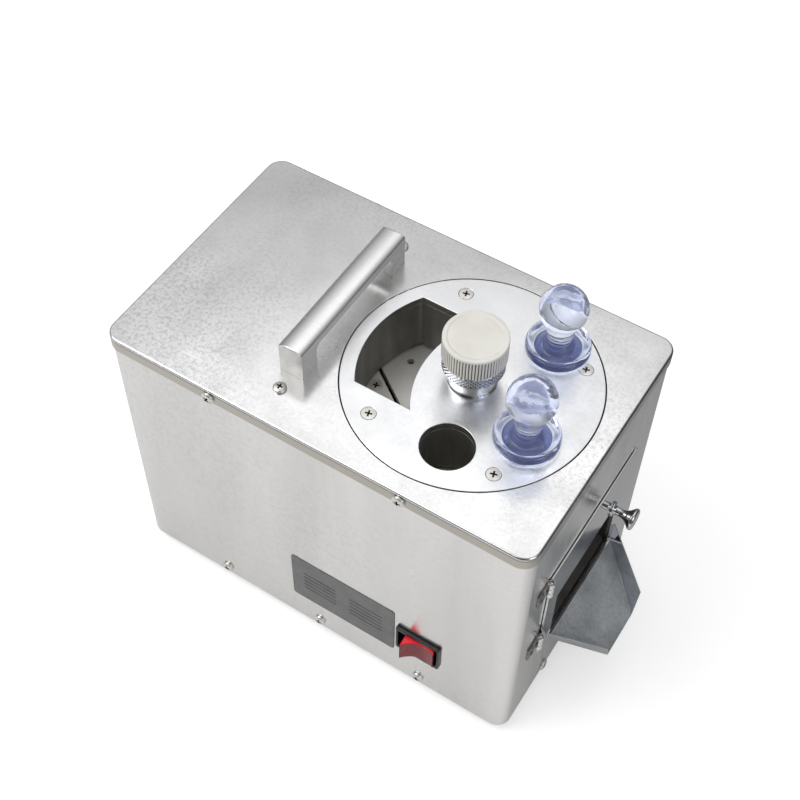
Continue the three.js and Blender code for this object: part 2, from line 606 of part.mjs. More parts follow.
// A see-saw button, drawn about its own pivot and pressed in on the right.
function rocker() {
  const { height, tip, rise, dip, foot } = ROCKER;
  const shape = new THREE.Shape();
  shape.moveTo(-foot, -5);
  shape.lineTo(foot, -5);
  shape.lineTo(tip, rise);
  shape.quadraticCurveTo(0, 2 * dip - rise, -tip, rise);
  const geometry = new THREE.ExtrudeGeometry(shape, { depth: height, bevelEnabled: false, curveSegments: 10 });
  geometry.rotateZ(-THREE.MathUtils.degToRad(SWITCH.tilt)).translate(0, 0, -height / 2);
  return toSolid(geometry.rotateX(Math.PI));
}

function powerInlet() {
  const { width, height, flangeX, flangeZ, proud, depth } = INLET;
  const flange = block([-flangeX / 2, flangeX / 2], [SEAM, proud], [-flangeZ / 2, flangeZ / 2]);
  const body = block([-width / 2, width / 2], [-depth, 1], [-height / 2, height / 2]);
  const socket = block([-11.5, 11.5], [3 - depth, proud + 1], [-7.5, 7.5]);
  const pins = [[-7, -1], [7, -1], [0, 3]].map(([x, z]) => block([x - 1, x + 1], [2 - depth, -1], [z - 2, z + 2]));
  return join(cut(join(flange, body), socket), ...pins);
}

function nameplate() {
  const { length, height, thickness, corner } = NAMEPLATE;
  return prism(roundedRectangle(length / 2, height / 2, corner), SEAM, thickness, 5);
}

// ---------------------------------------------------------------- door and chute
const onHinge = (radius, z0, z1) => rod(radius, z0, z1, { x: hingeX, y: HINGE.y, sides: 16 });

function hingeLeaf(top) {
  const bottom = top - HINGE.length;
  const leaf = block([bodyHalfX + SEAM, bodyHalfX + 0.9], [HINGE.y - HINGE.leaf, HINGE.y], [bottom, top]);
  const clear = block([bodyHalfX - 1, hingeX], [HINGE.y - HINGE.radius - GAP, HINGE.y + 1],
    [bottom + hingeThird - GAP, top - hingeThird + GAP]);
  return join(cut(leaf, clear),
    onHinge(HINGE.radius, bottom, bottom + hingeThird - GAP),
    onHinge(HINGE.radius, top - hingeThird + GAP, top),
    onHinge(HINGE.pin, bottom, top));
}

function doorPanel() {
  const front = HINGE.y + HINGE.radius + GAP;
  const panel = block([doorInside, doorOutside], [front, DOOR.back], [DOOR.low, DOOR.high]);
  const window = block([doorInside - 1, doorOutside + 1], [-DOOR.window, DOOR.window],
    [DOOR.sill, DOOR.head]);
  const barrels = HINGE.tops.map((top) => {
    const z0 = top - HINGE.length + hingeThird;
    const z1 = top - hingeThird;
    const tab = block([doorInside + 0.2, doorOutside], [HINGE.y, front + 1], [z0, z1]);
    return cut(join(tab, onHinge(HINGE.radius, z0, z1)), onHinge(HINGE.pin + 2 * RUNNING, z0 - 1, z1 + 1));
  });
  const knobHole = hole(doorInside, DOOR_KNOB.y, DOOR_KNOB.z, 'right');
  return cut(join(cut(panel, window), ...barrels), knobHole);
}

function doorKnob() {
  const { length } = DOOR_KNOB;
  return turned([[0, -2], [2, -2], [2, SEAM], [5, SEAM], [5, 1], [2.5, 2.4], [2.5, length * 0.42],
    [4, length * 0.66], [7.2, length * 0.84], [7.2, length * 0.93], [5.6, length], [0, length]], 20);
}

function chute() {
  const { z, front, back, reach, drop, halfLip, sheet: t } = CHUTE;
  const near = doorOutside + SEAM;
  const far = doorOutside + reach;
  const low = z - drop;
  const floor = sheet([[near, front, z], [near, back, z], [far, halfLip, low], [far, -halfLip, low]], -t);
  const lean = Math.tan(THREE.MathUtils.degToRad(20));
  const wall = (y0, y1, side) => {
    const rise = (height) => [0, side * height * lean, height];
    const add = (p, q) => p.map((v, i) => v + q[i]);
    const a = [near, y0, z - t];
    const b = [far, y1, low - t];
    return sheet([a, b, add(b, rise(19)), add(a, rise(11.9))], side * t);
  };
  const flange = block([near, near + t], [front, back], [DOOR.low + 1, z]);
  const trims = [[near - 5, near], [far, far + 5]].map((span) =>
    block(span, [-LID.depth, LID.depth], [0, LID.top]));
  return cut(join(floor, wall(front, -halfLip, -1), wall(back, halfLip, 1), flange), ...trims);
}

// ---------------------------------------------------------------- plungers
function plunger() {
  const { rod: r, reach, flange, rim, ball, centre, neck } = PLUNGER;
  const profile = [[0, -reach], [r, -reach], [r, GAP], [flange - 1, GAP], [flange, GAP + 1.2],
    [flange, rim - 2], [flange - 1.4, rim], [flange - 3.4, rim - 0.9], [neck + 2, rim + 1]];
  const start = -Math.acos(neck / ball);
  const steps = 7;
  for (let i = 0; i < steps; i += 1) {
    const angle = start + (Math.PI / 2 - start) * (i / steps);
    profile.push([ball * Math.cos(angle), centre + ball * Math.sin(angle)]);
  }
  profile.push([0, centre + ball]);
  return turned(profile);
}

// ---------------------------------------------------------------- assembly
piece('lid', lid(), polishedSteel);
piece('body_shell', bodyShell(), polishedSteel);
piece('base_plate', basePlate(), brushedSteel);
addFeet();
addCaseScrews();
piece('handle', handle(), polishedSteel, frame, [HANDLE.x, HANDLE.y, LID.top]);
piece('nameplate', nameplate(), greyPlate, frame, [NAMEPLATE.x, -bodyHalfY, NAMEPLATE.z], FACING.front);
piece('switch_bezel', switchBezel(), blackPlastic, frame, [SWITCH.x, -bodyHalfY, SWITCH.z]);
piece('switch_rocker', rocker(), redPlastic, frame, [SWITCH.x, -bodyHalfY - SWITCH.pivot, SWITCH.z]);
piece('power_inlet', powerInlet(), blackPlastic, frame, [INLET.x, bodyHalfY, INLET.z]);

piece('drive_deck', driveDeck(), brushedSteel);
piece('motor_body', motorBody(), motorPaint, frame, [MOTOR.x, 0, 0]);
piece('motor_shaft', rod(MOTOR.shaft, BELT.low - 2, DECK.z + 22), brushedSteel, frame,
  [MOTOR.x, 0, 0]);
piece('motor_pulley', pulley(BELT.motor, MOTOR.bore), castAluminium, frame, [MOTOR.x, 0, 0]);
piece('driven_pulley', pulley(BELT.driven, SHAFT.bore), castAluminium, frame, [PLATE.x, PLATE.y, 0]);
piece('drive_belt', driveBelt(), blackRubber);
piece('bearing_housing', bearingHousing(), castAluminium, frame, [PLATE.x, PLATE.y, 0]);
const bearing = () => ring(SHAFT.bore, BEARING.radius, 0, BEARING.width - 1);
piece('lower_bearing', bearing(), chrome, frame, [PLATE.x, PLATE.y, DECK.z + 0.5]);
piece('upper_bearing', bearing(), chrome, frame, [PLATE.x, PLATE.y, HOUSING.top - BEARING.width + 0.5]);

piece('feed_plate', feedPlate(), brushedSteel, head);
piece('feed_throat', feedThroat(), dullSteel, head);
addPlateScrews();
piece('cutting_drum', drum(), dullSteel, head);
piece('discharge_duct', dischargeDuct(), dullSteel);
piece('main_shaft', mainShaft(), brushedSteel, head);
piece('slinger', slinger(), brushedSteel, head);
piece('cutter_carrier', cutterCarrier(), castAluminium, head, [0, 0, 0], TURNED);
piece('gauge_plate', gaugePlate(), brushedSteel, head, [0, 0, 0], TURNED);
for (const [name, turn] of [['a', 0], ['b', Math.PI]]) {
  const angle = [0, 0, CUTTER_ANGLE + turn];
  piece(`blade_${name}`, blade(), brushedSteel, head, [0, 0, 0], angle);
  const screw = flatScrew(BLADE_SCREW.head, BLADE_SCREW.length - SEAM);
  const place = new THREE.Vector3(BLADE_SCREW.x, BLADE_SCREW.y, cutterTop + CUTTER.edge)
    .applyEuler(new THREE.Euler(...angle));
  piece(`blade_screw_${name}`, screw, brushedSteel, head, place.toArray(), angle);
}

piece('knob_boss', knobBoss(), chrome, head);
piece('lock_ring', lockRing(), dullSteel, head);
piece('thickness_knob', knobCap(), ivoryPlastic, head);
piece('adjusting_spindle', adjustingSpindle(), brushedSteel, head);
piece('push_sleeve', pushSleeve(), brushedSteel, head);
for (const name of ['side', 'back']) {
  piece(`plunger_${name}`, plunger(), clearPlastic, head, [...polar(...PORTS[name]), 0]);
}

piece('hinge_leaf_upper', hingeLeaf(HINGE.tops[0]), chrome);
piece('hinge_leaf_lower', hingeLeaf(HINGE.tops[1]), chrome);
piece('door_panel', doorPanel(), polishedSteel);
piece('door_knob', doorKnob(), chrome, frame, [doorOutside, DOOR_KNOB.y, DOOR_KNOB.z], FACING.right);
piece('chute', chute(), polishedSteel);

export default slicer;
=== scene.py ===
"""The finished look of a tabletop herb slicer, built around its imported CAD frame.

Shapes are drawn in millimetres and become metres when their mesh is made. Places come from the
boxes of the CAD nodes, so every piece sits where the frame has it.
"""
import json
import math

import bmesh
import bpy
from mathutils import Matrix, Vector


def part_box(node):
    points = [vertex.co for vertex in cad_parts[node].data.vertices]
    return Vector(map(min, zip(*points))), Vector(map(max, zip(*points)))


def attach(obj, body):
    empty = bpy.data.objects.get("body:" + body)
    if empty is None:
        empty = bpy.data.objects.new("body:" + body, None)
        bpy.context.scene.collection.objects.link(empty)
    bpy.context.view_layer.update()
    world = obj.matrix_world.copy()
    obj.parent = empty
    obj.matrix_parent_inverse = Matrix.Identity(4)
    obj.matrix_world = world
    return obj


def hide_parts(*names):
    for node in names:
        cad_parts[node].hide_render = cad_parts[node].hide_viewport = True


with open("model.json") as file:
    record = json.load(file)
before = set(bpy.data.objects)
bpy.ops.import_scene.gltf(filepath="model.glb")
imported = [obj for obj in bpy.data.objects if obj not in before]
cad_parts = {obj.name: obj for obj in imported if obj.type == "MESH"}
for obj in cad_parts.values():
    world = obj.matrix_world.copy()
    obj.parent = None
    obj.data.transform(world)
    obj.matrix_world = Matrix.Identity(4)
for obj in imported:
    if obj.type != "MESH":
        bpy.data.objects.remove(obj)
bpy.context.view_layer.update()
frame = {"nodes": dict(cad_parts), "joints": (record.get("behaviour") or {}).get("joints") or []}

# ---------------- driving sizes, millimetres
MM = 0.001

LID_CORNER, LID_EDGE, LID_SHEET = 10, 1.4, 0.8
BODY_CORNER, BODY_SHEET = 9.5, 1.2
FOOT_BORE = 4

PLATE_SLIT = 0.6
CRESCENT_RADIUS, CRESCENT_HALF, CRESCENT_WIDTH = 65.5, 36.5, 36.1
PORT_RADIUS = 15.4
OPEN_PORT = (47.8, math.radians(-75.8))       # distance and direction from the plate's centre

SCREW_HEAD, SCREW_RISE, SCREW_SHANK, SCREW_LENGTH = 4, 2.4, 2, 8
FLAT_HEAD, FLAT_TAPER, FLAT_LENGTH = 4.2, 2.3, 8
CROSS_HALF, CROSS_WIDTH, CROSS_DEPTH = 2.1, 0.55, 1.7
PLATE_SCREW_TURN, SCREW_TURN = 17, 31         # degrees; no two neighbours are turned alike
SHARP = math.radians(40)

KNOB_FLUTES, FLUTE_DEPTH = 66, 0.8
KNURLS, KNURL_DEPTH, KNURL_PITCH = 44, 0.7, 2.6
RING_TOP, RING_FOOT, BOSS_NECK, BOSS_FLARE = 18.1, 17.8, 13.3, 1.0
SPINDLE_BORE, RING_BORE, THROAT_BORE, BOSS_COLLAR = 4.2, 9.1, 9.05, 8.8
BALL_RADIUS = 14                              # the plungers' grips

VENT_ROWS, VENT_LENGTH, VENT_HEIGHT, VENT_PITCH = 5, 34, 3, 10
VENT_SPREAD, VENT_X, VENT_Z = 42.2, -89, 130
SWITCH_TILT = math.radians(14.1)
NAMEPLATE_CORNER = 2.4
HANDLE_LEG, HANDLE_BAR, HANDLE_BEND, HANDLE_CROWN = 14, 7, 5, 2.0
DOOR_WINDOW, DOOR_SILL, DOOR_HEAD, DOOR_SHEET, DOOR_GAP = 38, 5.2, 52, 1.2, 0.3
KNUCKLE_RADIUS, KNUCKLE_GAP, PIN_RADIUS = 2.1, 0.3, 1.15
HINGE_LEAVES = ("hinge_leaf_upper", "hinge_leaf_lower")
CHUTE_SHEET, CHUTE_SILL, CHUTE_DROP, CHUTE_LIP = 0.9, 4.6, 28.1, 17
CHUTE_MOUTH, CHUTE_WALLS = (-37.9, 46.1), (11, 18)  # places across the door, heights at mouth and lip
CHUTE_LEAN = math.radians(20)

scene = bpy.context.scene
nodes = frame["nodes"]
joints = {joint["name"]: joint for joint in frame["joints"]}


def span(name):
    """A CAD node's lowest and highest corners, in millimetres."""
    low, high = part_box(name)
    return low / MM, high / MM


def middle(name):
    low, high = span(name)
    return (low + high) / 2


def half_size(name):
    low, high = span(name)
    return (high - low) / 2


def pivot(name):
    """A joint's place, in millimetres."""
    return Vector(joints[name]["pos_m"]) / MM


def polar(radius, angle):
    return radius * math.cos(angle), radius * math.sin(angle)


plate_low, plate_high = span("feed_plate")
plate_centre = middle("feed_plate")
plate_radius = (plate_high.x - plate_low.x) / 2
plate_top = plate_high.z
PLATE_PLACE = (plate_centre.x, plate_centre.y, plate_top)
knob_low, knob_high = span("thickness_knob")
KNOB_RADIUS = (knob_high.x - knob_low.x) / 2
KNOB_TOP = knob_high.z - plate_top
body_low, body_high = span("body_shell")
body_centre = middle("body_shell")
lid_low, lid_high = span("lid")
lid_centre = middle("lid")
door_low = span("door_panel")[0]
hinge = pivot("door_swing")

# ---------------- materials
MATERIALS = {}


class Nodes:
    """A node tree under construction; a node's sockets go by name or by number."""

    def __init__(self, tree):
        self.tree = tree

    def plug(self, socket, value):
        if isinstance(value, bpy.types.NodeSocket):
            self.tree.links.new(value, socket)
        elif socket.type == "RGBA":
            socket.default_value = (*value, 1)
        else:
            socket.default_value = value

    def node(self, kind, inputs, output, **settings):
        made = self.tree.nodes.new("ShaderNode" + kind)
        for name, value in settings.items():
            setattr(made, name, value)
        for name, value in inputs.items():
            self.plug(made.inputs[name], value)
        return made.outputs[output]

    def split(self, vector, axis):
        return self.node("SeparateXYZ", {"Vector": vector}, axis)

    def spread(self, value, low, high, to_low, to_high):
        return self.node("MapRange", {"Value": value, "From Min": low, "From Max": high,
                                      "To Min": to_low, "To Max": to_high}, "Result")

    def ray(self, kind):
        """1 for one kind of ray, such as Camera or Shadow, and 0 for the others."""
        return self.node("LightPath", {}, f"Is {kind} Ray")

    def times(self, first, second):
        return self.maths("MULTIPLY", first, second)

    def blend(self, pattern, first, second, low=0.3, high=0.7):
        """One tone to another as a pattern rises from low to high."""
        return self.mix(self.spread(pattern, low, high, 0.0, 1.0), first, second)

    def mix(self, share, first, second):
        """A blend of two colours; the node's colour sockets are numbers 6, 7 and 2."""
        return self.node("Mix", {0: share, 6: first, 7: second}, 2, data_type="RGBA")

    def maths(self, operation, first, second=0.0):
        return self.node("Math", {0: first, 1: second}, 0, operation=operation)


class Look(Nodes):
    """A material under construction: a Principled shader with procedural colour and surface."""

    def __init__(self, name, **sockets):
        self.material = MATERIALS[name] = bpy.data.materials.new(name)
        self.material.use_nodes = True
        super().__init__(self.material.node_tree)
        self.shader = self.tree.nodes["Principled BSDF"]
        self.place = self.node("TexCoord", {}, "Object")
        self.x, self.y, self.height = (self.split(self.place, axis) for axis in "XYZ")
        self.bumps = None
        self.set(**sockets)

    def set(self, **sockets):
        for name, value in sockets.items():
            self.plug(self.shader.inputs[name.replace("_", " ")], value)

    def noise(self, scale, detail=3, stretch=(1, 1, 1), shift=0.0, warp=0.0, rough=0.55):
        """Cloudy noise, scale in features per metre; a stretch below 1 draws them out along that axis."""
        place = self.node("Mapping", {"Vector": self.place, "Scale": stretch, "Location": (shift,) * 3},
                          "Vector")
        return self.node("TexNoise", {"Vector": place, "Scale": scale, "Detail": detail,
                                      "Distortion": warp, "Roughness": rough}, "Fac")

    def bump(self, height, distance):
        """Adds one more layer of relief; distance is in millimetres."""
        inputs = {"Height": height, "Distance": distance * MM}
        if self.bumps is not None:
            inputs["Normal"] = self.bumps
        self.bumps = self.node("Bump", inputs, "Normal")
        self.set(Normal=self.bumps)


def hairs_along(grain):
    """Hair lines run across the axis that the grain is drawn out along; an even grain has none."""
    if len(set(grain)) == 1:
        return grain
    return tuple(1 if stretch == min(grain) else 0.02 for stretch in grain)


def metal(name, colour, roughness, haze=0.08, grain=(1, 1, 1), shade=0.82, cloud=14, relief=0.006,
          wave=0.0, speckle=0.0, bands=(), bare=1.0):
    """Bare metal: a cloudy tone, hazy patches, fine grain along one direction and faint waviness.

    Each band is (low, high, tone): painted shade, a tone laid between two heights, in millimetres.
    """
    look = Look(name, Metallic=bare)
    patches = look.noise(cloud, 4, grain, warp=0.6)
    hair = look.noise(700, 2, hairs_along(grain), shift=3.0)
    smears = look.noise(cloud * 3, 5, grain, shift=7.0, rough=0.7)
    dark = tuple(c * shade for c in colour)
    tone = look.blend(patches, dark, colour, 0.36, 0.64)
    tone = look.mix(look.spread(hair, 0.3, 0.7, 0.0, 0.22), tone, dark)
    if speckle:
        dots = look.noise(420, 5, shift=19.0, rough=0.8)
        worn = look.spread(look.noise(7, 2, shift=23.0), 0.42, 0.62, 0.25, 1.0)
        spots = look.times(look.spread(dots, 0.46, 0.62, 0.0, speckle), worn)
        tone = look.mix(spots, tone, (0.30, 0.305, 0.32))
    # Each band paints shade between two heights.
    for low, high, painted_shade in bands:
        inside = look.times(look.spread(look.height, (low - BAND_BLUR) * MM, low * MM, 0.0, 1.0),
                            look.spread(look.height, high * MM, (high + BAND_BLUR) * MM, 1.0, 0.0))
        tone = look.mix(inside, tone, painted_shade)
    look.set(Base_Color=tone)
    rough = look.spread(smears, 0.3, 0.7, roughness, roughness + haze)
    look.set(Roughness=look.maths("ADD", rough, look.spread(hair, 0.3, 0.7, 0.0, 0.03)))
    look.bump(hair, relief)
    if wave:
        look.bump(look.noise(9, 1, grain, shift=11.0), wave)


def plastic(name, colour, roughness, shade=0.8, grain_scale=900, relief=0.02, **sockets):
    """Moulded plastic or rubber: faint mottling, a fine skin texture and handling marks."""
    look = Look(name, **sockets)
    mottle = look.noise(60, 4)
    skin = look.noise(grain_scale, 2, shift=2.0)
    marks = look.noise(110, 6, (1, 1, 0.3), shift=5.0, rough=0.75)
    dark = tuple(c * shade for c in colour)
    look.set(Base_Color=look.blend(mottle, dark, colour))
    look.set(Roughness=look.spread(marks, 0.35, 0.7, roughness, roughness + 0.14))
    look.bump(skin, relief)


def clear_plastic():
    """Turned clear plastic with faint hazy patches: almost colourless above the plate; below it, painted
    deep blue and less clear as painted shade of the dark hole.
    """
    look = Look("clear_plastic", IOR=1.46)
    haze = look.noise(120, 4)
    tint = look.blend(haze, (0.93, 0.95, 1.0), (0.98, 0.985, 1.0), 0.35, 0.65)
    look.set(Roughness=look.spread(haze, 0.4, 0.75, 0.01, 0.08))
    look.bump(look.noise(500, 2, (0.1, 0.1, 1)), 0.01)
    look.bump(look.noise(130, 2, shift=9.0), 0.22)
    # Below the plate the rod is painted deep blue and made less clear: painted shade of the dark hole it
    # stands in.
    deep = look.spread(look.height, -4 * MM, -1 * MM, 1.0, 0.0)
    look.set(Base_Color=look.mix(deep, tint, (0.27, 0.37, 0.83)))
    look.set(Transmission_Weight=look.spread(deep, 0.0, 1.0, 0.92, 0.60))
    output = look.tree.nodes["Material Output"]
    depth = look.node("VolumeAbsorption", {"Color": (0.36, 0.50, 0.95), "Density": 9.0}, "Volume")
    look.plug(output.inputs["Volume"], depth)
    lit = look.node("BsdfTransparent", {"Color": (0.80, 0.86, 1.0)}, "BSDF")
    shadow = look.times(look.ray("Shadow"), 0.85)
    surface = look.node("MixShader", {0: shadow, 1: look.shader.outputs["BSDF"], 2: lit}, 0)
    look.plug(output.inputs["Surface"], surface)


def ruled_plate():
    """The blank rating plate: grey paint over metal with plain ruled lines in two columns."""
    look = Look("ruled_plate", Metallic=0.35)
    stripes = look.maths("PINGPONG", look.times(look.y, 1 / (4.2 * MM)), 0.5)
    stripe = look.spread(stripes, 0.16, 0.22, 1.0, 0.0)
    column = look.maths("ABSOLUTE", look.maths("SUBTRACT", look.maths("ABSOLUTE", look.x), 17 * MM))
    inside = look.maths("LESS_THAN", column, 12 * MM)
    middle_rows = look.maths("LESS_THAN", look.maths("ABSOLUTE", look.y), 11.5 * MM)
    lines = look.times(look.times(stripe, inside), middle_rows)
    speckle = look.noise(700, 3)
    paint = look.blend(speckle, (0.15, 0.152, 0.15), (0.21, 0.213, 0.21))
    look.set(Base_Color=look.mix(look.times(lines, 0.95), paint, (0.04, 0.041, 0.04)))
    look.set(Roughness=look.spread(look.noise(90, 4), 0.35, 0.65, 0.34, 0.5))
    look.bump(speckle, 0.02)


def switch_red():
    """Red plastic with painted light: painted bright on the side that faces up, painted deep and dark on the
    front as painted shade.
    """
    look = Look("switch_red", Specular_IOR_Level=0.35)
    deep = look.blend(look.noise(80, 3), (0.17, 0.004, 0.008), (0.27, 0.008, 0.014))
    # Painted light: the colour follows which way a face points, bright where it faces up and dark where it
    # faces the front.
    upward = look.split(look.node("NewGeometry", {}, "Normal"), "Z")
    look.set(Base_Color=look.blend(upward, deep, (0.85, 0.015, 0.035), 0.15, 0.8))
    look.set(Roughness=look.spread(look.noise(200, 3), 0.3, 0.7, 0.22, 0.34))
    look.bump(look.noise(1200, 2), 0.01)


def ivory():
    """Aged ivory plastic, painted near black deep in the grooves between the ribs as painted shade."""
    look = Look("ivory_plastic")
    mottle = look.noise(70, 5)
    flat = look.node("VectorMath", {0: look.place, 1: (1, 1, 0)}, "Vector", operation="MULTIPLY")
    radius = look.node("VectorMath", {0: flat}, "Value", operation="LENGTH")
    # Painted shade: the grooves on the ribbed side are painted near black.
    groove = look.spread(radius, (KNOB_RADIUS - FLUTE_DEPTH * 0.85) * MM,
                         (KNOB_RADIUS - FLUTE_DEPTH * 0.25) * MM, 1.0, 0.0)
    side = look.maths("GREATER_THAN", radius, (KNOB_RADIUS - FLUTE_DEPTH * 1.2) * MM)
    low = look.maths("LESS_THAN", look.height, (KNOB_TOP - 1.5) * MM)
    groove_shade = look.times(look.times(groove, side), low)
    clean = look.blend(mottle, (0.74, 0.725, 0.66), (0.83, 0.815, 0.76))
    look.set(Base_Color=look.mix(look.times(groove_shade, 0.9), clean, (0.10, 0.088, 0.06)))
    look.set(Roughness=look.spread(look.noise(150, 5), 0.3, 0.7, 0.3, 0.46))
    look.bump(look.noise(1500, 2), 0.012)


def knurled():
    """Steel whose valleys between the knurls are painted dark, as painted shade."""
    look = Look("knurled_steel", Metallic=1.0)
    mottle = look.noise(300, 3)
    # Painted shade: the valleys, found by pointiness, are painted near black.
    valley = look.spread(look.node("NewGeometry", {}, "Pointiness"), 0.47, 0.51, 1.0, 0.0)
    bright = look.blend(mottle, (0.62, 0.63, 0.66), (0.80, 0.81, 0.84))
    look.set(Base_Color=look.mix(look.times(valley, 0.9), bright, (0.07, 0.07, 0.08)))
    look.set(Roughness=look.spread(mottle, 0.3, 0.7, 0.16, 0.30))
    look.bump(mottle, 0.01)


BAND_BLUR = 0.3
ACROSS = (0.12, 1, 1)
UPRIGHT = (1, 1, 0.12)
DEEP_UPRIGHT = (1, 1, 0.15)

# The first band paints the lid's skirt a darker brownish tone, the second a thin dark line under the rounded
# top edge: painted shade.
metal("lid_steel", (0.86, 0.86, 0.855), 0.12, 0.16, shade=0.82, cloud=11, relief=0.002,
      wave=0.10, speckle=0.45, bands=(
          (lid_low.z, lid_high.z - LID_EDGE - 1.2, (0.52, 0.49, 0.44)),
          (lid_high.z - LID_EDGE - 0.9, lid_high.z - LID_EDGE - 0.5, (0.10, 0.09, 0.08))))
# The band paints a dark line on the body just under the lid's skirt: a painted shadow.
metal("case_steel", (0.89, 0.88, 0.86), 0.10, 0.16, UPRIGHT, 0.84, 13, relief=0.003,
      wave=0.12, speckle=0.2, bands=((lid_low.z - 1.3, lid_low.z, (0.06, 0.05, 0.04)),))
metal("door_steel", (0.74, 0.74, 0.74), 0.06, 0.06, shade=0.9, cloud=12, wave=0.02)
# The chute's steel and its floor carry a blue tint that stands in for what they reflect, and the floor's
# copy is lighter than the walls: painted reflection and painted light.
metal("chute_steel", (0.70, 0.73, 0.78), 0.03, 0.04, shade=0.78, cloud=30, relief=0.0, speckle=0.15)
metal("chute_floor", (0.92, 0.97, 1.0), 0.10, 0.14, shade=0.60, cloud=34, relief=0.0,
      speckle=0.40, bare=0.62)
metal("plate_steel", (0.98, 0.985, 0.99), 0.25, 0.14, shade=0.90, cloud=13, wave=0.03, speckle=0.16)
metal("handle_steel", (0.90, 0.90, 0.90), 0.20, 0.12, (1, 0.1, 1), 0.88, 20, 0.003)
# A darker, rougher copy of the handle's steel for its front end faces: painted shade.
metal("handle_end", (0.50, 0.495, 0.48), 0.34, 0.14, shade=0.84, cloud=40, bare=0.55)
metal("brushed_steel", (0.62, 0.62, 0.60), 0.28, 0.12, ACROSS, 0.8, 25, 0.012)
metal("gauge_steel", (0.95, 0.93, 0.88), 0.42, 0.14, ACROSS, 0.88, 25, 0.008, bare=0.45)
metal("screw_steel", (0.88, 0.86, 0.81), 0.28, 0.14, shade=0.8, cloud=160, bare=0.8)
# Dull dark steel for the feed throat, also painted on the walls of the plate's openings as painted shade.
metal("dull_steel", (0.40, 0.395, 0.37), 0.48, 0.16, DEEP_UPRIGHT, 0.60, 40, 0.01)
metal("drum_steel", (0.16, 0.155, 0.15), 0.42, 0.16, DEEP_UPRIGHT, 0.62, 40, 0.02)
metal("cast_aluminium", (0.48, 0.48, 0.47), 0.45, 0.15, shade=0.8, cloud=40, relief=0.06)
metal("chrome", (0.82, 0.83, 0.84), 0.05, 0.06, shade=0.9, cloud=60, relief=0.002)
metal("hinge_steel", (0.34, 0.33, 0.30), 0.22, 0.14, shade=0.5, cloud=160)
knurled()
plastic("black_rubber", (0.022, 0.022, 0.022), 0.66, 0.6, 600, 0.05)
plastic("black_plastic", (0.018, 0.019, 0.019), 0.30, 0.7, 900, 0.02)
plastic("motor_paint", (0.055, 0.07, 0.08), 0.42, 0.8, 400, 0.05, Metallic=0.1)
# Near black for the inside of the screws' cross recesses: painted shade.
plastic("recess_shade", (0.06, 0.042, 0.03), 0.6, 0.6)
clear_plastic()
ruled_plate()
switch_red()
ivory()

# ---------------- mesh tools


def in_scene(name, data):
    thing = bpy.data.objects.new(name, data)
    scene.collection.objects.link(thing)
    return thing


def shaped_mesh(thing):
    """A new mesh of a thing as its modifiers, or its curve's settings, leave it."""
    return bpy.data.meshes.new_from_object(thing.evaluated_get(bpy.context.evaluated_depsgraph_get()))


def to_object(name, mesh):
    """Cleans a millimetre bmesh and puts it in the scene in metres."""
    bmesh.ops.remove_doubles(mesh, verts=mesh.verts, dist=1e-4)
    bmesh.ops.recalc_face_normals(mesh, faces=mesh.faces)
    bmesh.ops.scale(mesh, vec=(MM, MM, MM), verts=mesh.verts)
    data = bpy.data.meshes.new(name)
    mesh.to_mesh(data)
    mesh.free()
    data.shade_smooth()
    return in_scene(name, data)


def skin(name, loops, ring=False, caps=()):
    """Joins equal rows of points with quads. A row may close up to one point.

    ring joins the last row to the first. Each cap lists the points of a face on both end rows.
    """
    mesh = bmesh.new()
    rows = [[mesh.verts.new(point) for point in loop] for loop in loops]
    if ring:
        rows.append(rows[0])
    for low, high in zip(rows, rows[1:]):
        for i in range(len(low)):
            j = (i + 1) % len(low)
            mesh.faces.new((low[i], low[j], high[j], high[i]))
    for row in (rows[0], rows[-1]):
        for cap in caps:
            mesh.faces.new([row[i] for i in cap])
    return to_object(name, mesh)


def filleted(points, steps=4):
    """A polyline whose points may carry a third number, the size of the curve that rounds them off."""
    path = []
    for i, (x, y, *size) in enumerate(points):
        if not size or i in (0, len(points) - 1):
            path.append((x, y))
            continue
        corner = Vector((x, y))
        before = Vector(points[i - 1][:2]) - corner
        after = Vector(points[i + 1][:2]) - corner
        reach = min(size[0], before.length * 0.48, after.length * 0.48)
        start = corner + before.normalized() * reach
        end = corner + after.normalized() * reach
        for k in range(steps + 1):
            t = k / steps
            path.append(tuple(start * (1 - t) ** 2 + corner * 2 * t * (1 - t) + end * t * t))
    return path


def turned(name, profile, sides=72, wave=None):
    """Spins a (radius, height) outline about z; wave(radius, height, angle) may ripple it."""
    loops = []
    for radius, height in profile:
        loop = []
        for i in range(sides):
            angle = 2 * math.pi * i / sides
            reach = wave(radius, height, angle) if wave else radius
            loop.append((*polar(reach, angle), height))
        loops.append(loop)
    return skin(name, loops)


def rounded_rectangle(half_x, half_y, radius, corner_steps=8, side_steps=1):
    """Points round a rectangle with round corners, the same number for every size."""
    points = []
    for k, (sx, sy) in enumerate([(1, 1), (-1, 1), (-1, -1), (1, -1)]):
        for i in range(corner_steps + 1):
            angle = math.pi / 2 * (k + i / corner_steps)
            x, y = polar(radius, angle)
            points.append((sx * (half_x - radius) + x, sy * (half_y - radius) + y))
    dense = []
    for i, point in enumerate(points):
        dense.append(point)
        if i % (corner_steps + 1) == corner_steps:
            after = points[(i + 1) % len(points)]
            for k in range(1, side_steps):
                t = k / side_steps
                dense.append((point[0] * (1 - t) + after[0] * t, point[1] * (1 - t) + after[1] * t))
    return dense


def boxed(name, rows):
    """Stacks rounded rectangles, each row (half length, half width, corner, height), and closes it."""
    rows = [(0, 0, 0, rows[0][3]), *rows, (0, 0, 0, rows[-1][3])]
    loops = []
    for half_x, half_y, corner, height in rows:
        flat = rounded_rectangle(half_x, half_y, corner, 5)
        loops.append([(x, y, height) for x, y in flat])
    return skin(name, loops)


def circle(x, y, radius, sides=72):
    spokes = [polar(radius, 2 * math.pi * i / sides) for i in range(sides)]
    return [(x + right, y + up) for right, up in spokes]


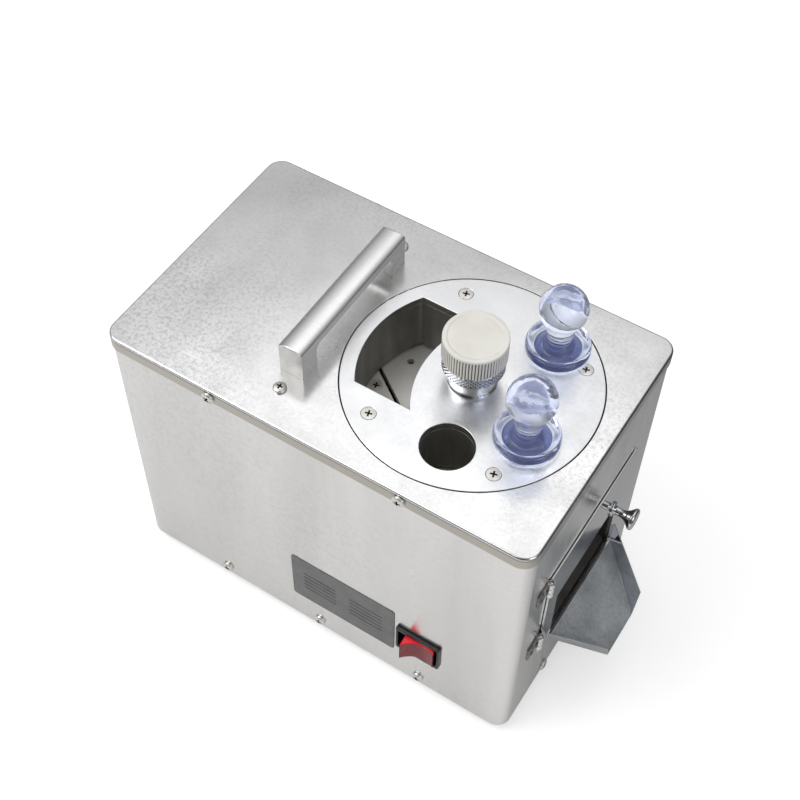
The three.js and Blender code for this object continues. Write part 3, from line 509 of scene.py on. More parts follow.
def sheet(name, outlines, low, high, edge):
    """A flat sheet from low to high: the first outline less the others, with its edges rounded."""
    curve = bpy.data.curves.new(name, "CURVE")
    curve.dimensions = "2D"
    curve.fill_mode = "BOTH"
    curve.extrude = (high - low) / 2 - edge
    curve.bevel_depth = edge
    curve.bevel_resolution = 2
    curve.offset = -edge
    for points in outlines:
        line = curve.splines.new("POLY")
        line.points.add(len(points) - 1)
        line.use_cyclic_u = True
        for point, (x, y) in zip(line.points, points):
            point.co = (x, y, 0, 1)
    drawn = in_scene(name, curve)
    flat = shaped_mesh(drawn)
    mesh = bmesh.new()
    mesh.from_mesh(flat)
    bmesh.ops.translate(mesh, vec=(0, 0, (low + high) / 2), verts=mesh.verts)
    bpy.data.objects.remove(drawn)
    bpy.data.curves.remove(curve)
    bpy.data.meshes.remove(flat)
    return to_object(name, mesh)


def carved(thing, tools, operation="DIFFERENCE"):
    """Cuts the tools out of a piece, or joins them to it, and removes the tools."""
    for tool in tools:
        cut = thing.modifiers.new("cut", "BOOLEAN")
        cut.operation = operation
        cut.object = tool
    mesh = shaped_mesh(thing)
    thing.modifiers.clear()
    thing.data = mesh
    for tool in tools:
        bpy.data.objects.remove(tool)
    thing.data.shade_smooth()
    return thing


def softened(thing, width=0.0, segments=3, angle=35):
    """Rounds the sharp edges by width, and keeps flat faces flat where they meet round ones."""
    if width:
        bevel = thing.modifiers.new("edges", "BEVEL")
        bevel.width = width * MM
        bevel.segments = segments
        bevel.limit_method = "ANGLE"
        bevel.angle_limit = math.radians(angle)
    flat = thing.modifiers.new("flat_faces", "WEIGHTED_NORMAL")
    flat.weight = 95
    flat.keep_sharp = True
    return thing


def placed(thing, place=(0, 0, 0), turn=None):
    """Moves a piece to a place in millimetres, with an optional turning matrix."""
    thing.matrix_world = Matrix.Translation(Vector(place) * MM) @ (turn or UP)
    return thing


def add(thing, body, material, slot, *stood_for):
    """Gives a piece its finish and makes it ride on a body in place of the CAD nodes named."""
    if not thing.data.materials:
        thing.data.materials.append(MATERIALS[material])
    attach(thing, body)
    if stood_for:
        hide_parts(*stood_for)
    return thing


def fit(thing, place, turn, body, material, slot, *stood_for):
    """Softens a piece, puts it in its place and adds it."""
    return add(softened(placed(thing, place, turn)), body, material, slot, *stood_for)


def paint(thing, rest, chosen, picked):
    """Gives a piece one finish, and a second on the faces that are picked."""
    thing.data.materials.clear()
    for name in (rest, chosen):
        thing.data.materials.append(MATERIALS[name])
    for face in thing.data.polygons:
        face.material_index = int(picked(face))


def turning(axis, degrees):
    return Matrix.Rotation(math.radians(degrees), 4, axis)


UP, FRONT, BACK, RIGHT = Matrix.Identity(4), turning("X", 90), turning("X", -90), turning("Y", 90)

# ---------------- fasteners


def cross_recess(top):
    """A tapering cross-shaped tool whose mouth is just above top."""
    def cross(scale, height):
        w, h = CROSS_WIDTH * scale, CROSS_HALF * scale
        corners = [(h, -w), (h, w), (w, w), (w, h), (-w, h), (-w, w), (-h, w), (-h, -w),
                   (-w, -w), (-w, -h), (w, -h), (w, -w)]
        return [(x, y, height) for x, y in corners]
    foot = top - CROSS_DEPTH
    return skin("recess", [cross(0, top + 1), cross(1.08, top + 1), cross(1, top), cross(0.45, foot),
                           cross(0, foot)])


def screw_mesh(name, profile, top):
    """A screw with a cross recess; the faces inside the recess are painted dark, as painted shade."""
    thing = carved(turned(name, profile, 48), [cross_recess(top)])

    def in_recess(face):
        x, y, z = face.center / MM
        inside = max(abs(x), abs(y)) < CROSS_HALF + 0.05 and min(abs(x), abs(y)) < CROSS_WIDTH + 0.01
        return inside and top - CROSS_DEPTH - 0.1 < z < top - 0.35

    paint(thing, "screw_steel", "recess_shade", in_recess)
    thing.data.set_sharp_from_angle(angle=SHARP)
    mesh = thing.data
    bpy.data.objects.remove(thing)
    return mesh


def pan_head():
    dome = [(SCREW_HEAD * math.cos(t), 0.9 + (SCREW_RISE - 0.9) * math.sin(t))
            for t in (math.pi / 2 * k / 8 for k in range(9))]
    shank = filleted([(0, -SCREW_LENGTH), (SCREW_SHANK, -SCREW_LENGTH, 0.5), (SCREW_SHANK, 0.1),
                      (SCREW_HEAD, 0.1, 0.2), (SCREW_HEAD, 0.9)])
    return screw_mesh("pan_head_screw", shank + dome[1:-1] + [(0, SCREW_RISE)], SCREW_RISE)


def flat_head():
    profile = filleted([(0, -FLAT_LENGTH), (SCREW_SHANK, -FLAT_LENGTH, 0.5), (SCREW_SHANK, -FLAT_TAPER),
                        (FLAT_HEAD, -0.25), (FLAT_HEAD, 0, 0.2), (0, 0)])
    return screw_mesh("flat_head_screw", profile, 0)


def screws():
    """One head for each screw node, turned to face out of its wall."""
    pan, flat = pan_head(), flat_head()
    facings = {"lid": UP, "front": FRONT, "back": BACK, "right": RIGHT}
    for name in sorted(nodes):
        if "screw" not in name:
            continue
        kind = name.split("_")[0]
        low, high = span(name)
        centre = (low + high) / 2
        if kind in ("plate", "blade"):
            mesh, place, turn = flat, Vector((centre.x, centre.y, high.z)), turning("Z", PLATE_SCREW_TURN)
        else:
            turn = facings[kind if kind == "lid" else name.split("_")[2]]
            out = Vector(map(round, turn @ Vector((0, 0, 1))))
            reach = (high - low).dot(Vector(map(abs, out))) / 2
            mesh, place = pan, centre + out * (reach - SCREW_RISE)
            turn = turn @ turning("Z", SCREW_TURN * (len(name) % 5))
        thing = in_scene(name + "_head", mesh)
        body = "cutter" if kind == "blade" else "housing"
        add(placed(thing, place, turn), body, "screw_steel", "screw_steel", name)


# ---------------- case


def lid():
    """A folded sheet with a round mouth for the feed plate."""
    half_x, half_y = (lid_high.x - lid_low.x) / 2, (lid_high.y - lid_low.y) / 2
    top, bottom = lid_high.z, lid_low.z
    steps = 6

    def outline(inset, z):
        flat = rounded_rectangle(half_x - inset, half_y - inset, LID_CORNER - inset, 8, 40)
        return [(lid_centre.x + x, lid_centre.y + y, z) for x, y in flat]

    def mouth(z, grow=0.0):
        radius = plate_radius + PLATE_SLIT + grow
        loop = []
        for x, y, _ in outline(0, z):
            angle = math.atan2(y - plate_centre.y, x - plate_centre.x)
            rim = polar(radius, angle)
            loop.append((plate_centre.x + rim[0], plate_centre.y + rim[1], z))
        return loop

    def arc(radius, drop, first, last):
        for k in range(steps + 1):
            t = math.pi / 2 * (first + (last - first) * k / steps)
            yield outline(drop + radius * (1 - math.sin(t)), top - drop - radius * (1 - math.cos(t)))

    loops = [mouth(top - 0.25), mouth(top, 0.25), *arc(LID_EDGE, 0, 0, 1)]
    loops += [outline(0, bottom + 0.25), outline(0.25, bottom), outline(LID_SHEET - 0.2, bottom),
              outline(LID_SHEET, bottom + 0.2), *arc(LID_EDGE - LID_SHEET, LID_SHEET, 1, 0),
              mouth(top - LID_SHEET)]
    add(softened(skin("lid_sheet", loops, ring=True)), "housing", "lid_steel", "polished_steel", "lid")


def wall_tool(x_half, z_half, corner, place, facing):
    """A rounded block that cuts an opening through a wall."""
    tool = boxed("tool", [(x_half, z_half, corner, -6), (x_half, z_half, corner, 6)])
    return placed(tool, place, facing)


def body_shell():
    """The four walls, with openings for the switch, the inlet, the chute and the vents."""
    half_x, half_y = (body_high.x - body_low.x) / 2, (body_high.y - body_low.y) / 2
    low, high = body_low.z, body_high.z

    def outline(inset, z):
        flat = rounded_rectangle(half_x - inset, half_y - inset, BODY_CORNER - inset, 12)
        return [(body_centre.x + x, body_centre.y + y, z) for x, y in flat]

    soft = 0.25
    shell = skin("body_sheet", [outline(soft, low), outline(0, low + soft), outline(0, high),
                                outline(BODY_SHEET, high), outline(BODY_SHEET, low + soft),
                                outline(BODY_SHEET - soft, low)], ring=True)
    tools = []
    for node, facing, y in (("switch_bezel", FRONT, body_low.y), ("power_inlet", BACK, body_high.y)):
        size, centre = half_size(node), middle(node)
        tools.append(wall_tool(size.x - 1.3, size.z - 1.3, 0.8, (centre.x, y, centre.z), facing))
    size, centre = half_size("discharge_duct"), middle("discharge_duct")
    tools.append(wall_tool(size.z, size.y, 1, (body_high.x, centre.y, centre.z), RIGHT))
    for row in range(VENT_ROWS):
        for side in (-1, 1):
            place = (VENT_X + side * VENT_SPREAD / 2, body_high.y,
                     VENT_Z + VENT_HEIGHT / 2 + row * VENT_PITCH)
            round_end = VENT_HEIGHT / 2 - 0.01
            tools.append(wall_tool(VENT_LENGTH / 2, VENT_HEIGHT / 2, round_end, place, BACK))
    carved(shell, tools)
    shell.data.set_sharp_from_angle(angle=SHARP)
    add(softened(shell), "housing", "case_steel", "polished_steel", "body_shell")


def feet():
    for side in ("front_left", "front_right", "back_left", "back_right"):
        name = "foot_" + side
        low, high = span(name)
        top, drop = (high.x - low.x) / 2, high.z - low.z
        profile = filleted([(0, -1.8), (FOOT_BORE, -1.8, 0.4), (FOOT_BORE, -drop + 0.3, 0.4),
                            (top * 0.82, -drop, 1.2), (top * 0.86, -drop * 0.55, 1.5),
                            (top, -drop * 0.25, 0.8), (top, 0, 0.4), (0, 0)])
        place = (middle(name).x, middle(name).y, high.z)
        fit(turned(name + "_rubber", profile), place, UP, "housing", "black_rubber", "black_rubber", name)


def handle():
    """A bridge handle: square legs and a crowned bar, drawn as one outline along its length."""
    low, high = span("handle")
    centre, height = middle("handle"), high.z - low.z
    half_width, half, _ = half_size("handle")
    leg, bar, bend = HANDLE_LEG, HANDLE_BAR, HANDLE_BEND
    path = filleted([(-half, 0), (-half, height, 1.2), (half, height, 1.2), (half, 0),
                     (half - leg, 0), (half - leg, height - bar, bend), (leg - half, height - bar, bend),
                     (leg - half, 0), (-half, 0)], 6)[:-1]
    across = 20

    def crown(x):
        share = x / half_width
        return height - HANDLE_CROWN * share ** 2 * (0.7 + 0.3 * share ** 6)

    loops = []
    for i in range(across + 1):
        x = -half_width * math.cos(math.pi * i / across)
        loops.append([(x, y, min(z, crown(x))) for y, z in path])
    thing = skin("handle_bar", loops, caps=[range(len(path))])
    # The front end faces are painted darker than the rest of the handle: painted shade.
    paint(thing, "handle_steel", "handle_end", lambda face: face.normal.y < -0.9)
    placed(thing, (centre.x, centre.y, low.z))
    add(softened(thing, 0.45), "housing", "handle_steel", "polished_steel", "handle")


def nameplate():
    size, centre = half_size("nameplate"), middle("nameplate")
    outline = rounded_rectangle(size.x, size.z, NAMEPLATE_CORNER)
    thing = sheet("rating_plate", [outline], 0, size.y * 2, 0.12)
    fit(thing, (centre.x, centre.y + size.y, centre.z), FRONT,
        "housing", "ruled_plate", "grey_plate", "nameplate")


# ---------------- switch and inlet


def switch_frame():
    low, high = span("switch_bezel")
    half_x, _, half_z = half_size("switch_bezel")
    proud = body_low.y - low.y
    depth = high.y - body_low.y
    slot_x, slot_z = 13.6, 9.2
    rows = [(slot_x, slot_z, 0.5, 2 - depth), (slot_x, slot_z, 0.5, proud - 0.5),
            (slot_x + 0.25, slot_z + 0.25, 0.6, proud - 0.12), (slot_x + 0.7, slot_z + 0.7, 0.8, proud),
            (half_x - 0.8, half_z - 0.8, 1.2, proud), (half_x - 0.2, half_z - 0.2, 1.4, proud - 0.25),
            (half_x, half_z, 1.5, proud - 0.8), (half_x, half_z, 1.5, 0.1),
            (half_x - 1.6, half_z - 1.6, 0.8, 0.1), (half_x - 1.6, half_z - 1.6, 0.8, -depth)]
    centre = middle("switch_bezel")
    fit(boxed("switch_frame", rows), (centre.x, body_low.y, centre.z), FRONT,
        "housing", "black_plastic", "black_plastic", "switch_bezel")


def switch_button():
    """The rocker: a dished face between two tips, tilted to its off side."""
    half_height = half_size("switch_rocker").z
    tip, rise, dip, foot = 10.8, 10.26, 6.4, 8
    steps = 20
    face = [(tip - 2 * tip * k / steps, dip + (rise - dip) * (1 - 2 * k / steps) ** 2)
            for k in range(steps + 1)]
    outline = [(-foot, -5), (foot, -5)] + face
    thing = sheet("switch_button", [outline], -half_height, half_height, 0.5)
    turn = turning("X", 180) @ Matrix.Rotation(-SWITCH_TILT, 4, "Z")
    joint = pivot("switch_rock")
    place = (joint.x, joint.y, middle("switch_bezel").z)
    fit(thing, place, turn, "rocker", "switch_red", "red_plastic", "switch_rocker")


def power_inlet():
    """A recessed socket with three pins, in the back wall."""
    low, high = span("power_inlet")
    half_x, _, half_z = half_size("power_inlet")
    proud, depth = high.y - body_high.y, body_high.y - low.y
    socket_x, socket_z = 11.5, 7.5
    rows = [(socket_x, socket_z, 1.5, 3 - depth), (socket_x, socket_z, 1.5, proud - 0.4),
            (socket_x + 0.4, socket_z + 0.4, 1.8, proud), (half_x - 0.6, half_z - 0.6, 3, proud),
            (half_x, half_z, 3.4, proud - 0.6), (half_x, half_z, 3.4, 0.1), (14, 10.5, 1, 0.1),
            (14, 10.5, 1, -depth)]
    centre = middle("power_inlet")
    place = (centre.x, body_high.y, centre.z)
    fit(boxed("inlet_socket", rows), place, BACK, "housing", "black_plastic", "black_plastic", "power_inlet")
    for name, x, y in (("live", -7, 1), ("neutral", 7, 1), ("earth", 0, -3)):
        pin = boxed("inlet_pin_" + name, [(1, 2, 0.3, 2 - depth), (1, 2, 0.3, -1.6), (0.6, 1.6, 0.3, -1)])
        fit(pin, Vector(place) + BACK @ Vector((x, y, 0)), BACK, "housing", "screw_steel", "screw_steel")


# ---------------- feed head


def crescent():
    """The wide port: two arcs of one radius, side by side."""
    reach = math.asin(CRESCENT_HALF / CRESCENT_RADIUS)
    steps = 28
    outer = [polar(CRESCENT_RADIUS, math.pi - reach + 2 * reach * k / steps) for k in range(steps + 1)]
    inner = [(x + CRESCENT_WIDTH, y) for x, y in reversed(outer)]
    return outer + inner


def ports():
    """Outlines of every opening through the feed plate, about its centre."""
    openings = [crescent(), circle(*polar(*OPEN_PORT), PORT_RADIUS)]
    for name in ("plunger_side", "plunger_back"):
        place = middle(name) - plate_centre
        openings.append(circle(place.x, place.y, PORT_RADIUS))
    for name in sorted(nodes):
        if name.startswith("plate_screw"):
            place = middle(name) - plate_centre
            openings.append(circle(place.x, place.y, FLAT_HEAD + 0.15, 40))
    return openings


def feed_plate():
    """The round plate; the walls of its openings are painted dull and dark, as painted shade."""
    outlines = [circle(0, 0, plate_radius, 160), *ports(), circle(0, 0, SPINDLE_BORE, 40)]
    disc = sheet("feed_plate_disc", outlines, plate_low.z - plate_top, 0, 0.3)
    inner = (plate_radius - 2) * MM
    paint(disc, "plate_steel", "dull_steel",
          lambda face: face.center.xy.length < inner and abs(face.normal.z) < 0.3)
    fit(disc, PLATE_PLACE, UP, "housing", "plate_steel", "brushed_steel", "feed_plate")


def feed_throat():
    """The guide block under the plate, with the same ports."""
    low, high = span("feed_throat")
    outlines = [circle(0, 0, (high.x - low.x) / 2, 120), *ports(), circle(0, 0, THROAT_BORE, 48)]
    block = sheet("feed_throat_block", outlines, low.z - plate_top, high.z - plate_top, 0.25)
    fit(block, PLATE_PLACE, UP, "housing", "dull_steel", "dull_steel", "feed_throat")


def thickness_knob():
    """A ribbed cap with a shallow dish in its top."""
    bottom, top, radius = knob_low.z - plate_top, KNOB_TOP, KNOB_RADIUS

    def flutes(r, z, angle):
        if r < radius - 1.3 or not bottom + 0.5 < z < top - 1.9:
            return r
        groove = max(0.0, math.cos(KNOB_FLUTES * angle)) ** 0.5
        return r - FLUTE_DEPTH * groove

    side = [(radius, bottom + 0.9), (radius, bottom + 1.2)]
    side += [(radius, bottom + 1.2 + k * 1.9) for k in range(1, 6)]
    side += [(radius, top - 2.0), (radius, top - 1.7)]
    cap = filleted([(radius, top - 1.6), (radius - 0.1, top - 0.1, 1.6), (radius - 2.4, top - 0.05, 0.6),
                    (radius - 3.0, top - 0.55, 0.3), (radius - 3.8, top - 0.5, 0.4), (0, top)], 5)
    under = filleted([(SPINDLE_BORE, top - 6), (SPINDLE_BORE, bottom, 0.3), (radius - 0.6, bottom, 0.5),
                      (radius, bottom + 0.6)])
    profile = [(0, top - 6)] + under + side + cap
    knob = turned("knob_cap", profile, KNOB_FLUTES * 8, flutes)
    fit(knob, PLATE_PLACE, UP, "knob", "ivory_plastic", "ivory_plastic", "thickness_knob")


def lock_ring():
    """A ring with crossed knurls, under the knob."""
    low, high = span("lock_ring")
    bottom, top = low.z - plate_top, high.z - plate_top
    start = bottom + 2.2

    def knurl(r, z, angle):
        if r < RING_FOOT - 0.1 or not start + 0.1 < z < top - 0.5:
            return r
        u = KNURLS * angle / (2 * math.pi)
        v = (z - start) / KNURL_PITCH
        valley = abs((u + v) % 1 - 0.5) + abs((u - v) % 1 - 0.5)
        return r - KNURL_DEPTH * abs(1 - valley)

    rows = 13
    band = [(RING_FOOT + (RING_TOP - RING_FOOT) * k / rows, start + (top - 0.6 - start) * k / rows)
            for k in range(rows + 1)]
    lower = filleted([(RING_BORE, bottom), (BOSS_NECK + 0.6, bottom, 0.6),
                      (RING_FOOT - 0.5, bottom + 1.2, 0.8), (RING_FOOT - 0.2, start - 0.1)])
    profile = lower + band + [(RING_TOP - 0.6, top), (RING_BORE, top), (RING_BORE, bottom)]
    ring = turned("knurled_lock_ring", profile, KNURLS * 8, knurl)
    fit(ring, PLATE_PLACE, UP, "lock", "knurled_steel", "brushed_steel", "lock_ring")


def knob_boss():
    """The turned post that the ring and the knob stand on."""
    low, high = span("knob_boss")
    radius, top = (high.x - low.x) / 2, high.z - plate_top
    seat = span("lock_ring")[0].z - plate_top - 0.2
    flare = radius + BOSS_FLARE
    profile = filleted([(SPINDLE_BORE, 0.1), (flare, 0.1, 0.3), (flare, 0.9, 0.4), (BOSS_NECK, 2.4, 1.0),
                        (BOSS_NECK, seat, 0.4), (BOSS_COLLAR, seat), (BOSS_COLLAR, top, 0.3),
                        (SPINDLE_BORE, top), (SPINDLE_BORE, 0.1)])
    boss = turned("boss", profile, 96)
    fit(boss, PLATE_PLACE, UP, "housing", "chrome", "chrome", "knob_boss")


def plunger(name, body):
    """A clear push rod: a plain shank, a dished flange and a bulb-shaped grip."""
    low, high = span(name)
    reach, top = plate_top - low.z, high.z - plate_top
    flange = (high.x - low.x) / 2
    centre = top - BALL_RADIUS
    rod = PORT_RADIUS - 0.5
    profile = filleted([(0, -reach), (rod, -reach, 0.9), (rod, 0.35), (flange - 0.3, 0.35, 0.5),
                        (flange, 2.2, 0.8), (flange, 6.2, 1.0), (flange - 1.6, 7.4, 1.2),
                        (flange - 3.6, 6.4, 0.9), (flange - 5.6, 3.4, 1.4), (9, 3.0, 1.4),
                        (7.2, 6.6, 0.6), (7.9, 7.4, 0.4), (7.9, 8.8, 0.4), (6.9, 9.8, 0.8), (8.2, 17)], 6)
    start = math.radians(-40)
    steps = 22
    for k in range(steps):
        angle = start + (math.pi / 2 - start) * k / steps
        x, z = polar(BALL_RADIUS, angle)
        profile.append((x, centre + z))
    profile.append((0, top))
    thing = turned(name.replace("plunger", "push_rod"), profile, 96)
    placed(thing, (middle(name).x, middle(name).y, plate_top))
    add(thing, body, "clear_plastic", "clear_plastic", name)


# ---------------- door


def knuckle(name, low, high, bore, body):
    """One ring of a hinge, about the door's pivot."""
    profile = filleted([(bore, low), (KNUCKLE_RADIUS, low, 0.35), (KNUCKLE_RADIUS, high, 0.35),
                        (bore, high), (bore, low)], 3)
    fit(turned(name, profile, 32), (hinge.x, hinge.y, 0), UP, body, "chrome", "chrome")


def hinges():
    """Two hinges: fixed knuckles, a pin, and a notched leaf with two rivets."""
    y = hinge.y
    for node in HINGE_LEAVES:
        low, high = span(node)
        third = (high.z - low.z) / 3
        label = node.replace("hinge_leaf", "hinge")
        knuckle(label + "_knuckle_1", low.z, low.z + third - KNUCKLE_GAP, 1.45, "housing")
        knuckle(label + "_knuckle_2", high.z - third + KNUCKLE_GAP, high.z, 1.45, "housing")
        pin = turned(label + "_pin", filleted([(0, low.z + 0.2), (PIN_RADIUS, low.z + 0.2, 0.3),
                                               (PIN_RADIUS, high.z - 0.35, 0.4), (0, high.z - 0.2)]), 32)
        fit(pin, (hinge.x, y, 0), UP, "housing", "screw_steel", "chrome")
        half_y, half_z = (y - low.y) / 2, (high.z - low.z) / 2
        leaf = sheet(label + "_leaf", [rounded_rectangle(half_z, half_y, 1.5)], 0.1, 0.9, 0.2)
        notch = boxed("notch", [(third / 2 + 0.3, 3, 0.3, end) for end in (-3, 3)])
        carved(leaf, [placed(notch, (0, half_y, 0))])
        for offset in (-4, 4):
            rivet = turned("rivet", filleted([(0, 0.4), (1.5, 0.4), (1.5, 1.05, 0.3), (0.9, 1.5, 0.4),
                                              (0, 1.6)]), 24)
            carved(leaf, [placed(rivet, (offset, -1.5, 0))], "UNION")
        leaf.data.set_sharp_from_angle(angle=SHARP)
        fit(leaf, (body_high.x, y - half_y, middle(node).z), RIGHT, "housing", "hinge_steel", "chrome", node)


def door():
    """The door's sheet with its window, and what joins it to the hinges."""
    low, high = span("door_panel")
    front = hinge.y + 2.4
    inside = body_high.x + DOOR_GAP
    half_y, half_z = (high.y - front) / 2, (high.z - low.z) / 2
    centre_y, centre_z = (high.y + front) / 2, (high.z + low.z) / 2
    mid = (DOOR_SILL + DOOR_HEAD) / 2 + low.z
    window = [(a + centre_z - mid, b + body_centre.y - centre_y)
              for a, b in rounded_rectangle((DOOR_HEAD - DOOR_SILL) / 2, DOOR_WINDOW, 1.0)]
    panel = sheet("door_sheet", [rounded_rectangle(half_z, half_y, 1.2), window], 0, DOOR_SHEET, 0.2)
    fit(panel, (inside, centre_y, centre_z), RIGHT, "door", "door_steel", "polished_steel", "door_panel")
    for node in HINGE_LEAVES:
        bottom, top = span(node)
        third = (top.z - bottom.z) / 3
        label = node.replace("hinge_leaf", "door_knuckle")
        knuckle(label, bottom.z + third, top.z - third, 1.3, "door")
        tab = boxed(label + "_tab", [(third / 2, 1.4, 0.2, end) for end in (0.2, 1.2)])
        fit(tab, (inside, hinge.y + 2.6, middle(node).z), RIGHT, "door", "chrome", "polished_steel")


def door_knob():
    low, high = span("door_knob")
    length = high.x - low.x - 2
    profile = filleted([(0, -2), (2, -2), (2, 0.1), (5, 0.1, 0.3), (5, 1.1, 0.5), (2.8, 2.0, 0.8),
                        (2.4, length * 0.42, 2.0), (3.6, length * 0.62, 2.0), (6.8, length * 0.82, 1.0),
                        (7.2, length * 0.86, 0.4), (7.2, length * 0.93, 0.6), (6.2, length - 0.1, 0.8),
                        (5.0, length - 0.6, 0.5), (0, length)], 6)
    thing = turned("door_pull", profile, 64)
    place = (low.x + 2, middle("door_knob").y, middle("door_knob").z)
    fit(thing, place, RIGHT, "door", "chrome", "chrome", "door_knob")


def chute():
    """A folded sheet: its floor slopes down and narrows from the door, and its two walls lean out."""
    low, high = span("chute")
    sill = door_low.z + CHUTE_SILL
    lean = math.tan(CHUTE_LEAN)
    thick = CHUTE_SHEET / math.cos(math.atan(CHUTE_DROP / (high.x - low.x)))

    def section(x, z, front, back, rise):
        out = rise * lean
        outer = [(front - out, z + rise), (front, z - thick), (back, z - thick), (back + out, z + rise)]
        inner = [(back + out - CHUTE_SHEET, z + rise), (back - CHUTE_SHEET, z),
                 (front + CHUTE_SHEET, z), (front - out + CHUTE_SHEET, z + rise)]
        return [(x, y, height) for y, height in outer + inner]

    mouth = section(low.x, sill, CHUTE_MOUTH[0], CHUTE_MOUTH[1], CHUTE_WALLS[0])
    lip = section(high.x - 0.1, sill - CHUTE_DROP, body_centre.y - CHUTE_LIP, body_centre.y + CHUTE_LIP,
                  CHUTE_WALLS[1])
    thing = skin("chute_sheet", (mouth, lip), caps=((0, 1, 6, 7), (1, 2, 5, 6), (2, 3, 4, 5)))
    # The floor faces that look up are painted lighter than the walls: painted light.
    upward = Vector((0.6, 0, 0.8))
    paint(thing, "chute_steel", "chute_floor", lambda face: face.normal.dot(upward) > 0.9)
    add(softened(thing, 0.18, 2, 12), "door", "chute_steel", "polished_steel", "chute")

    flange = sheet("chute_flange", [rounded_rectangle(1.4, (CHUTE_MOUTH[1] - CHUTE_MOUTH[0]) / 2 - 1, 0.5)],
                   0, CHUTE_SHEET, 0.15)
    place = (low.x + 0.02, sum(CHUTE_MOUTH) / 2, sill - 1.0)
    fit(flange, place, RIGHT, "door", "chrome", "polished_steel")


# ---------------- CAD nodes that stay as they are


def carried_over():
    """Inner parts keep their CAD shape, with softened edges and a finish of their own."""
    finishes = {
        "brushed_steel": ("base_plate", "drive_deck", "motor_shaft", "main_shaft", "slinger",
                          "adjusting_spindle", "push_sleeve"),
        "cast_aluminium": ("motor_pulley", "driven_pulley", "bearing_housing", "cutter_carrier"),
        "chrome": ("lower_bearing", "upper_bearing"),
        "drum_steel": ("cutting_drum", "discharge_duct"),
        "gauge_steel": ("gauge_plate", "blade_a", "blade_b"),
        "motor_paint": ("motor_body",),
        "black_rubber": ("drive_belt",),
    }
    for finish, names in finishes.items():
        for name in names:
            thing = nodes[name]
            thing.material_slots[0].material = MATERIALS[finish]
            weld = thing.modifiers.new("weld", "WELD")
            weld.merge_threshold = 0.02 * MM
            softened(thing, 0.25, 2, 40)


# ---------------- stage, light and camera

FLOOR_REACH, FLOOR_GLOW = 6000, 0.45
LAMP_AIM = Vector((0, 0, 0.1))                # metres, as the lamps and the camera are
SKY_TONES = ((0.0, 0.34), (0.25, 0.30), (0.5, 0.42), (0.72, 0.86), (1.0, 1.0))  # height, grey
SKY_LEVEL = 0.78
SKY_THROUGH_PLASTIC = (1.25, 1.28, 1.34)
# Directions a polished surface sees as dark: where to, cosines at its rim and its heart, and depth.
DARK_CORNERS = (
    ((0.76, 0.53, 0.38), 0.72, 0.93, 0.70),
    ((0.315, -0.458, 0.833), 0.86, 0.96, 0.85),
    ((0.17, -0.92, 0.355), 0.85, 0.96, 0.85),
)
CAMERA_AIM = Vector((-0.0311, 0.0378, 0.108))
CAMERA_DISTANCE, CAMERA_LENS, CAMERA_SENSOR = 0.9037, 62.88, 36
CAMERA_AZIMUTH, CAMERA_HEIGHT, CAMERA_ROLL = map(math.radians, (31.26, 53.49, 1.3))


def floor():
    """Pale paper. Reflections see it duller, and then dark, with distance beyond the door's far side."""
    mesh = bmesh.new()
    bmesh.ops.create_grid(mesh, x_segments=2, y_segments=2, size=FLOOR_REACH)
    thing = to_object("floor", mesh)
    look = Look("floor_paper", Roughness=0.9)
    past_door = look.maths("ADD", look.times(look.x, 0.8), look.times(look.y, 0.6))
    shade = look.spread(past_door, 0.06, 0.30, 0.0, 1.0)
    beyond = look.spread(past_door, 0.28, 0.42, 0.0, 1.0)
    paper = look.mix(look.noise(3, 2), (0.80, 0.80, 0.79), (0.84, 0.84, 0.84))
    seen = look.maths("MAXIMUM", look.ray("Camera"), look.ray("Transmission"))
    dull = look.times(shade, look.maths("SUBTRACT", 1.0, seen))
    far = look.mix(beyond, (0.34, 0.345, 0.36), (0.02, 0.022, 0.026))
    look.set(Base_Color=look.mix(dull, paper, far))
    look.set(Emission_Color=(1, 1, 1), Emission_Strength=look.times(seen, FLOOR_GLOW))
    thing.data.materials.append(look.material)


def lamp(name, place, size, power):
    """A square or oblong lamp that looks at the middle of the object; metres and watts."""
    light = bpy.data.lights.new(name, "AREA")
    light.shape = "RECTANGLE"
    light.size, light.size_y = size
    light.energy = power
    thing = in_scene(name, light)
    thing.location = place
    thing.rotation_euler = (LAMP_AIM - Vector(place)).to_track_quat("-Z", "Y").to_euler()


def lights():
    lamp("key", (-0.9, -0.7, 1.5), (1.2, 1.2), 14)
    lamp("overhead", (-0.34, 0.58, 1.45), (0.85, 0.55), 0.95)
    lamp("right", (1.4, -0.4, 0.9), (0.7, 0.7), 4)


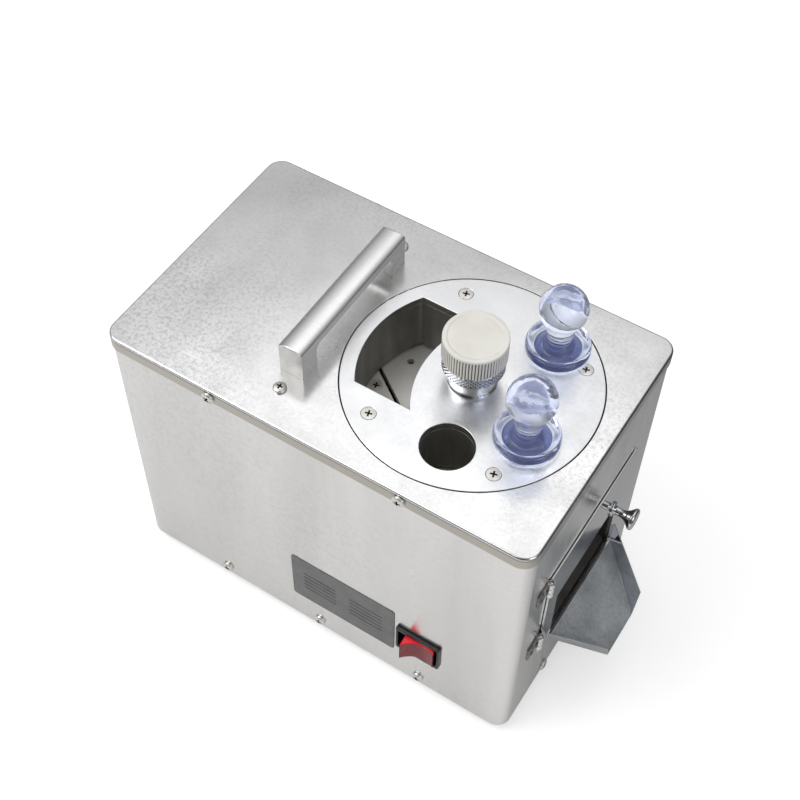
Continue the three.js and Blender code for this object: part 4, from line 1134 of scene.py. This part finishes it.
def surroundings():
    """A pale studio, bright overhead and greyer near the horizon, with dark corners for reflections."""
    world = bpy.data.worlds.new("studio")
    scene.world = world
    world.use_nodes = True
    sky = Nodes(world.node_tree)
    toward = sky.node("TexCoord", {}, "Generated")
    ramp = sky.node("ValToRGB", {"Fac": sky.split(toward, "Z")}, "Color")
    stops = ramp.node.color_ramp.elements
    while len(stops) < len(SKY_TONES):
        stops.new(0.5)
    for element, (place, grey) in zip(stops, SKY_TONES):
        element.position = place
        element.color = (grey, grey, grey * 1.01, 1)
    share = 1.0
    for direction, start, end, depth in DARK_CORNERS:
        close = sky.node("VectorMath", {0: toward, 1: direction}, "Value", operation="DOT_PRODUCT")
        mirrored = sky.times(sky.spread(close, start, end, 0.0, depth), sky.ray("Glossy"))
        share = sky.times(share, sky.maths("SUBTRACT", 1.0, mirrored))
    back = sky.tree.nodes["Background"]
    sky.plug(back.inputs["Color"], sky.mix(sky.ray("Transmission"), ramp, SKY_THROUGH_PLASTIC))
    sky.plug(back.inputs["Strength"], sky.times(share, SKY_LEVEL))


def camera():
    """Seen from the front right, well above, with a slight roll."""
    level = math.cos(CAMERA_HEIGHT)
    back = Vector((math.sin(CAMERA_AZIMUTH) * level, -math.cos(CAMERA_AZIMUTH) * level,
                   math.sin(CAMERA_HEIGHT)))
    data = bpy.data.cameras.new("camera")
    data.lens, data.sensor_width = CAMERA_LENS, CAMERA_SENSOR
    thing = in_scene("camera", data)
    turn = (-back).to_track_quat("-Z", "Y").to_matrix().to_4x4() @ Matrix.Rotation(CAMERA_ROLL, 4, "Z")
    thing.matrix_world = Matrix.Translation(CAMERA_AIM + back * CAMERA_DISTANCE) @ turn
    scene.camera = thing
    scene.view_settings.view_transform = "Standard"


# ---------------- assembly
lid()
body_shell()
feet()
screws()
handle()
nameplate()
switch_frame()
switch_button()
power_inlet()
feed_plate()
feed_throat()
thickness_knob()
lock_ring()
knob_boss()
plunger("plunger_side", "side_plunger")
plunger("plunger_back", "back_plunger")
hinges()
door()
door_knob()
chute()
carried_over()
floor()
lights()
surroundings()
camera()
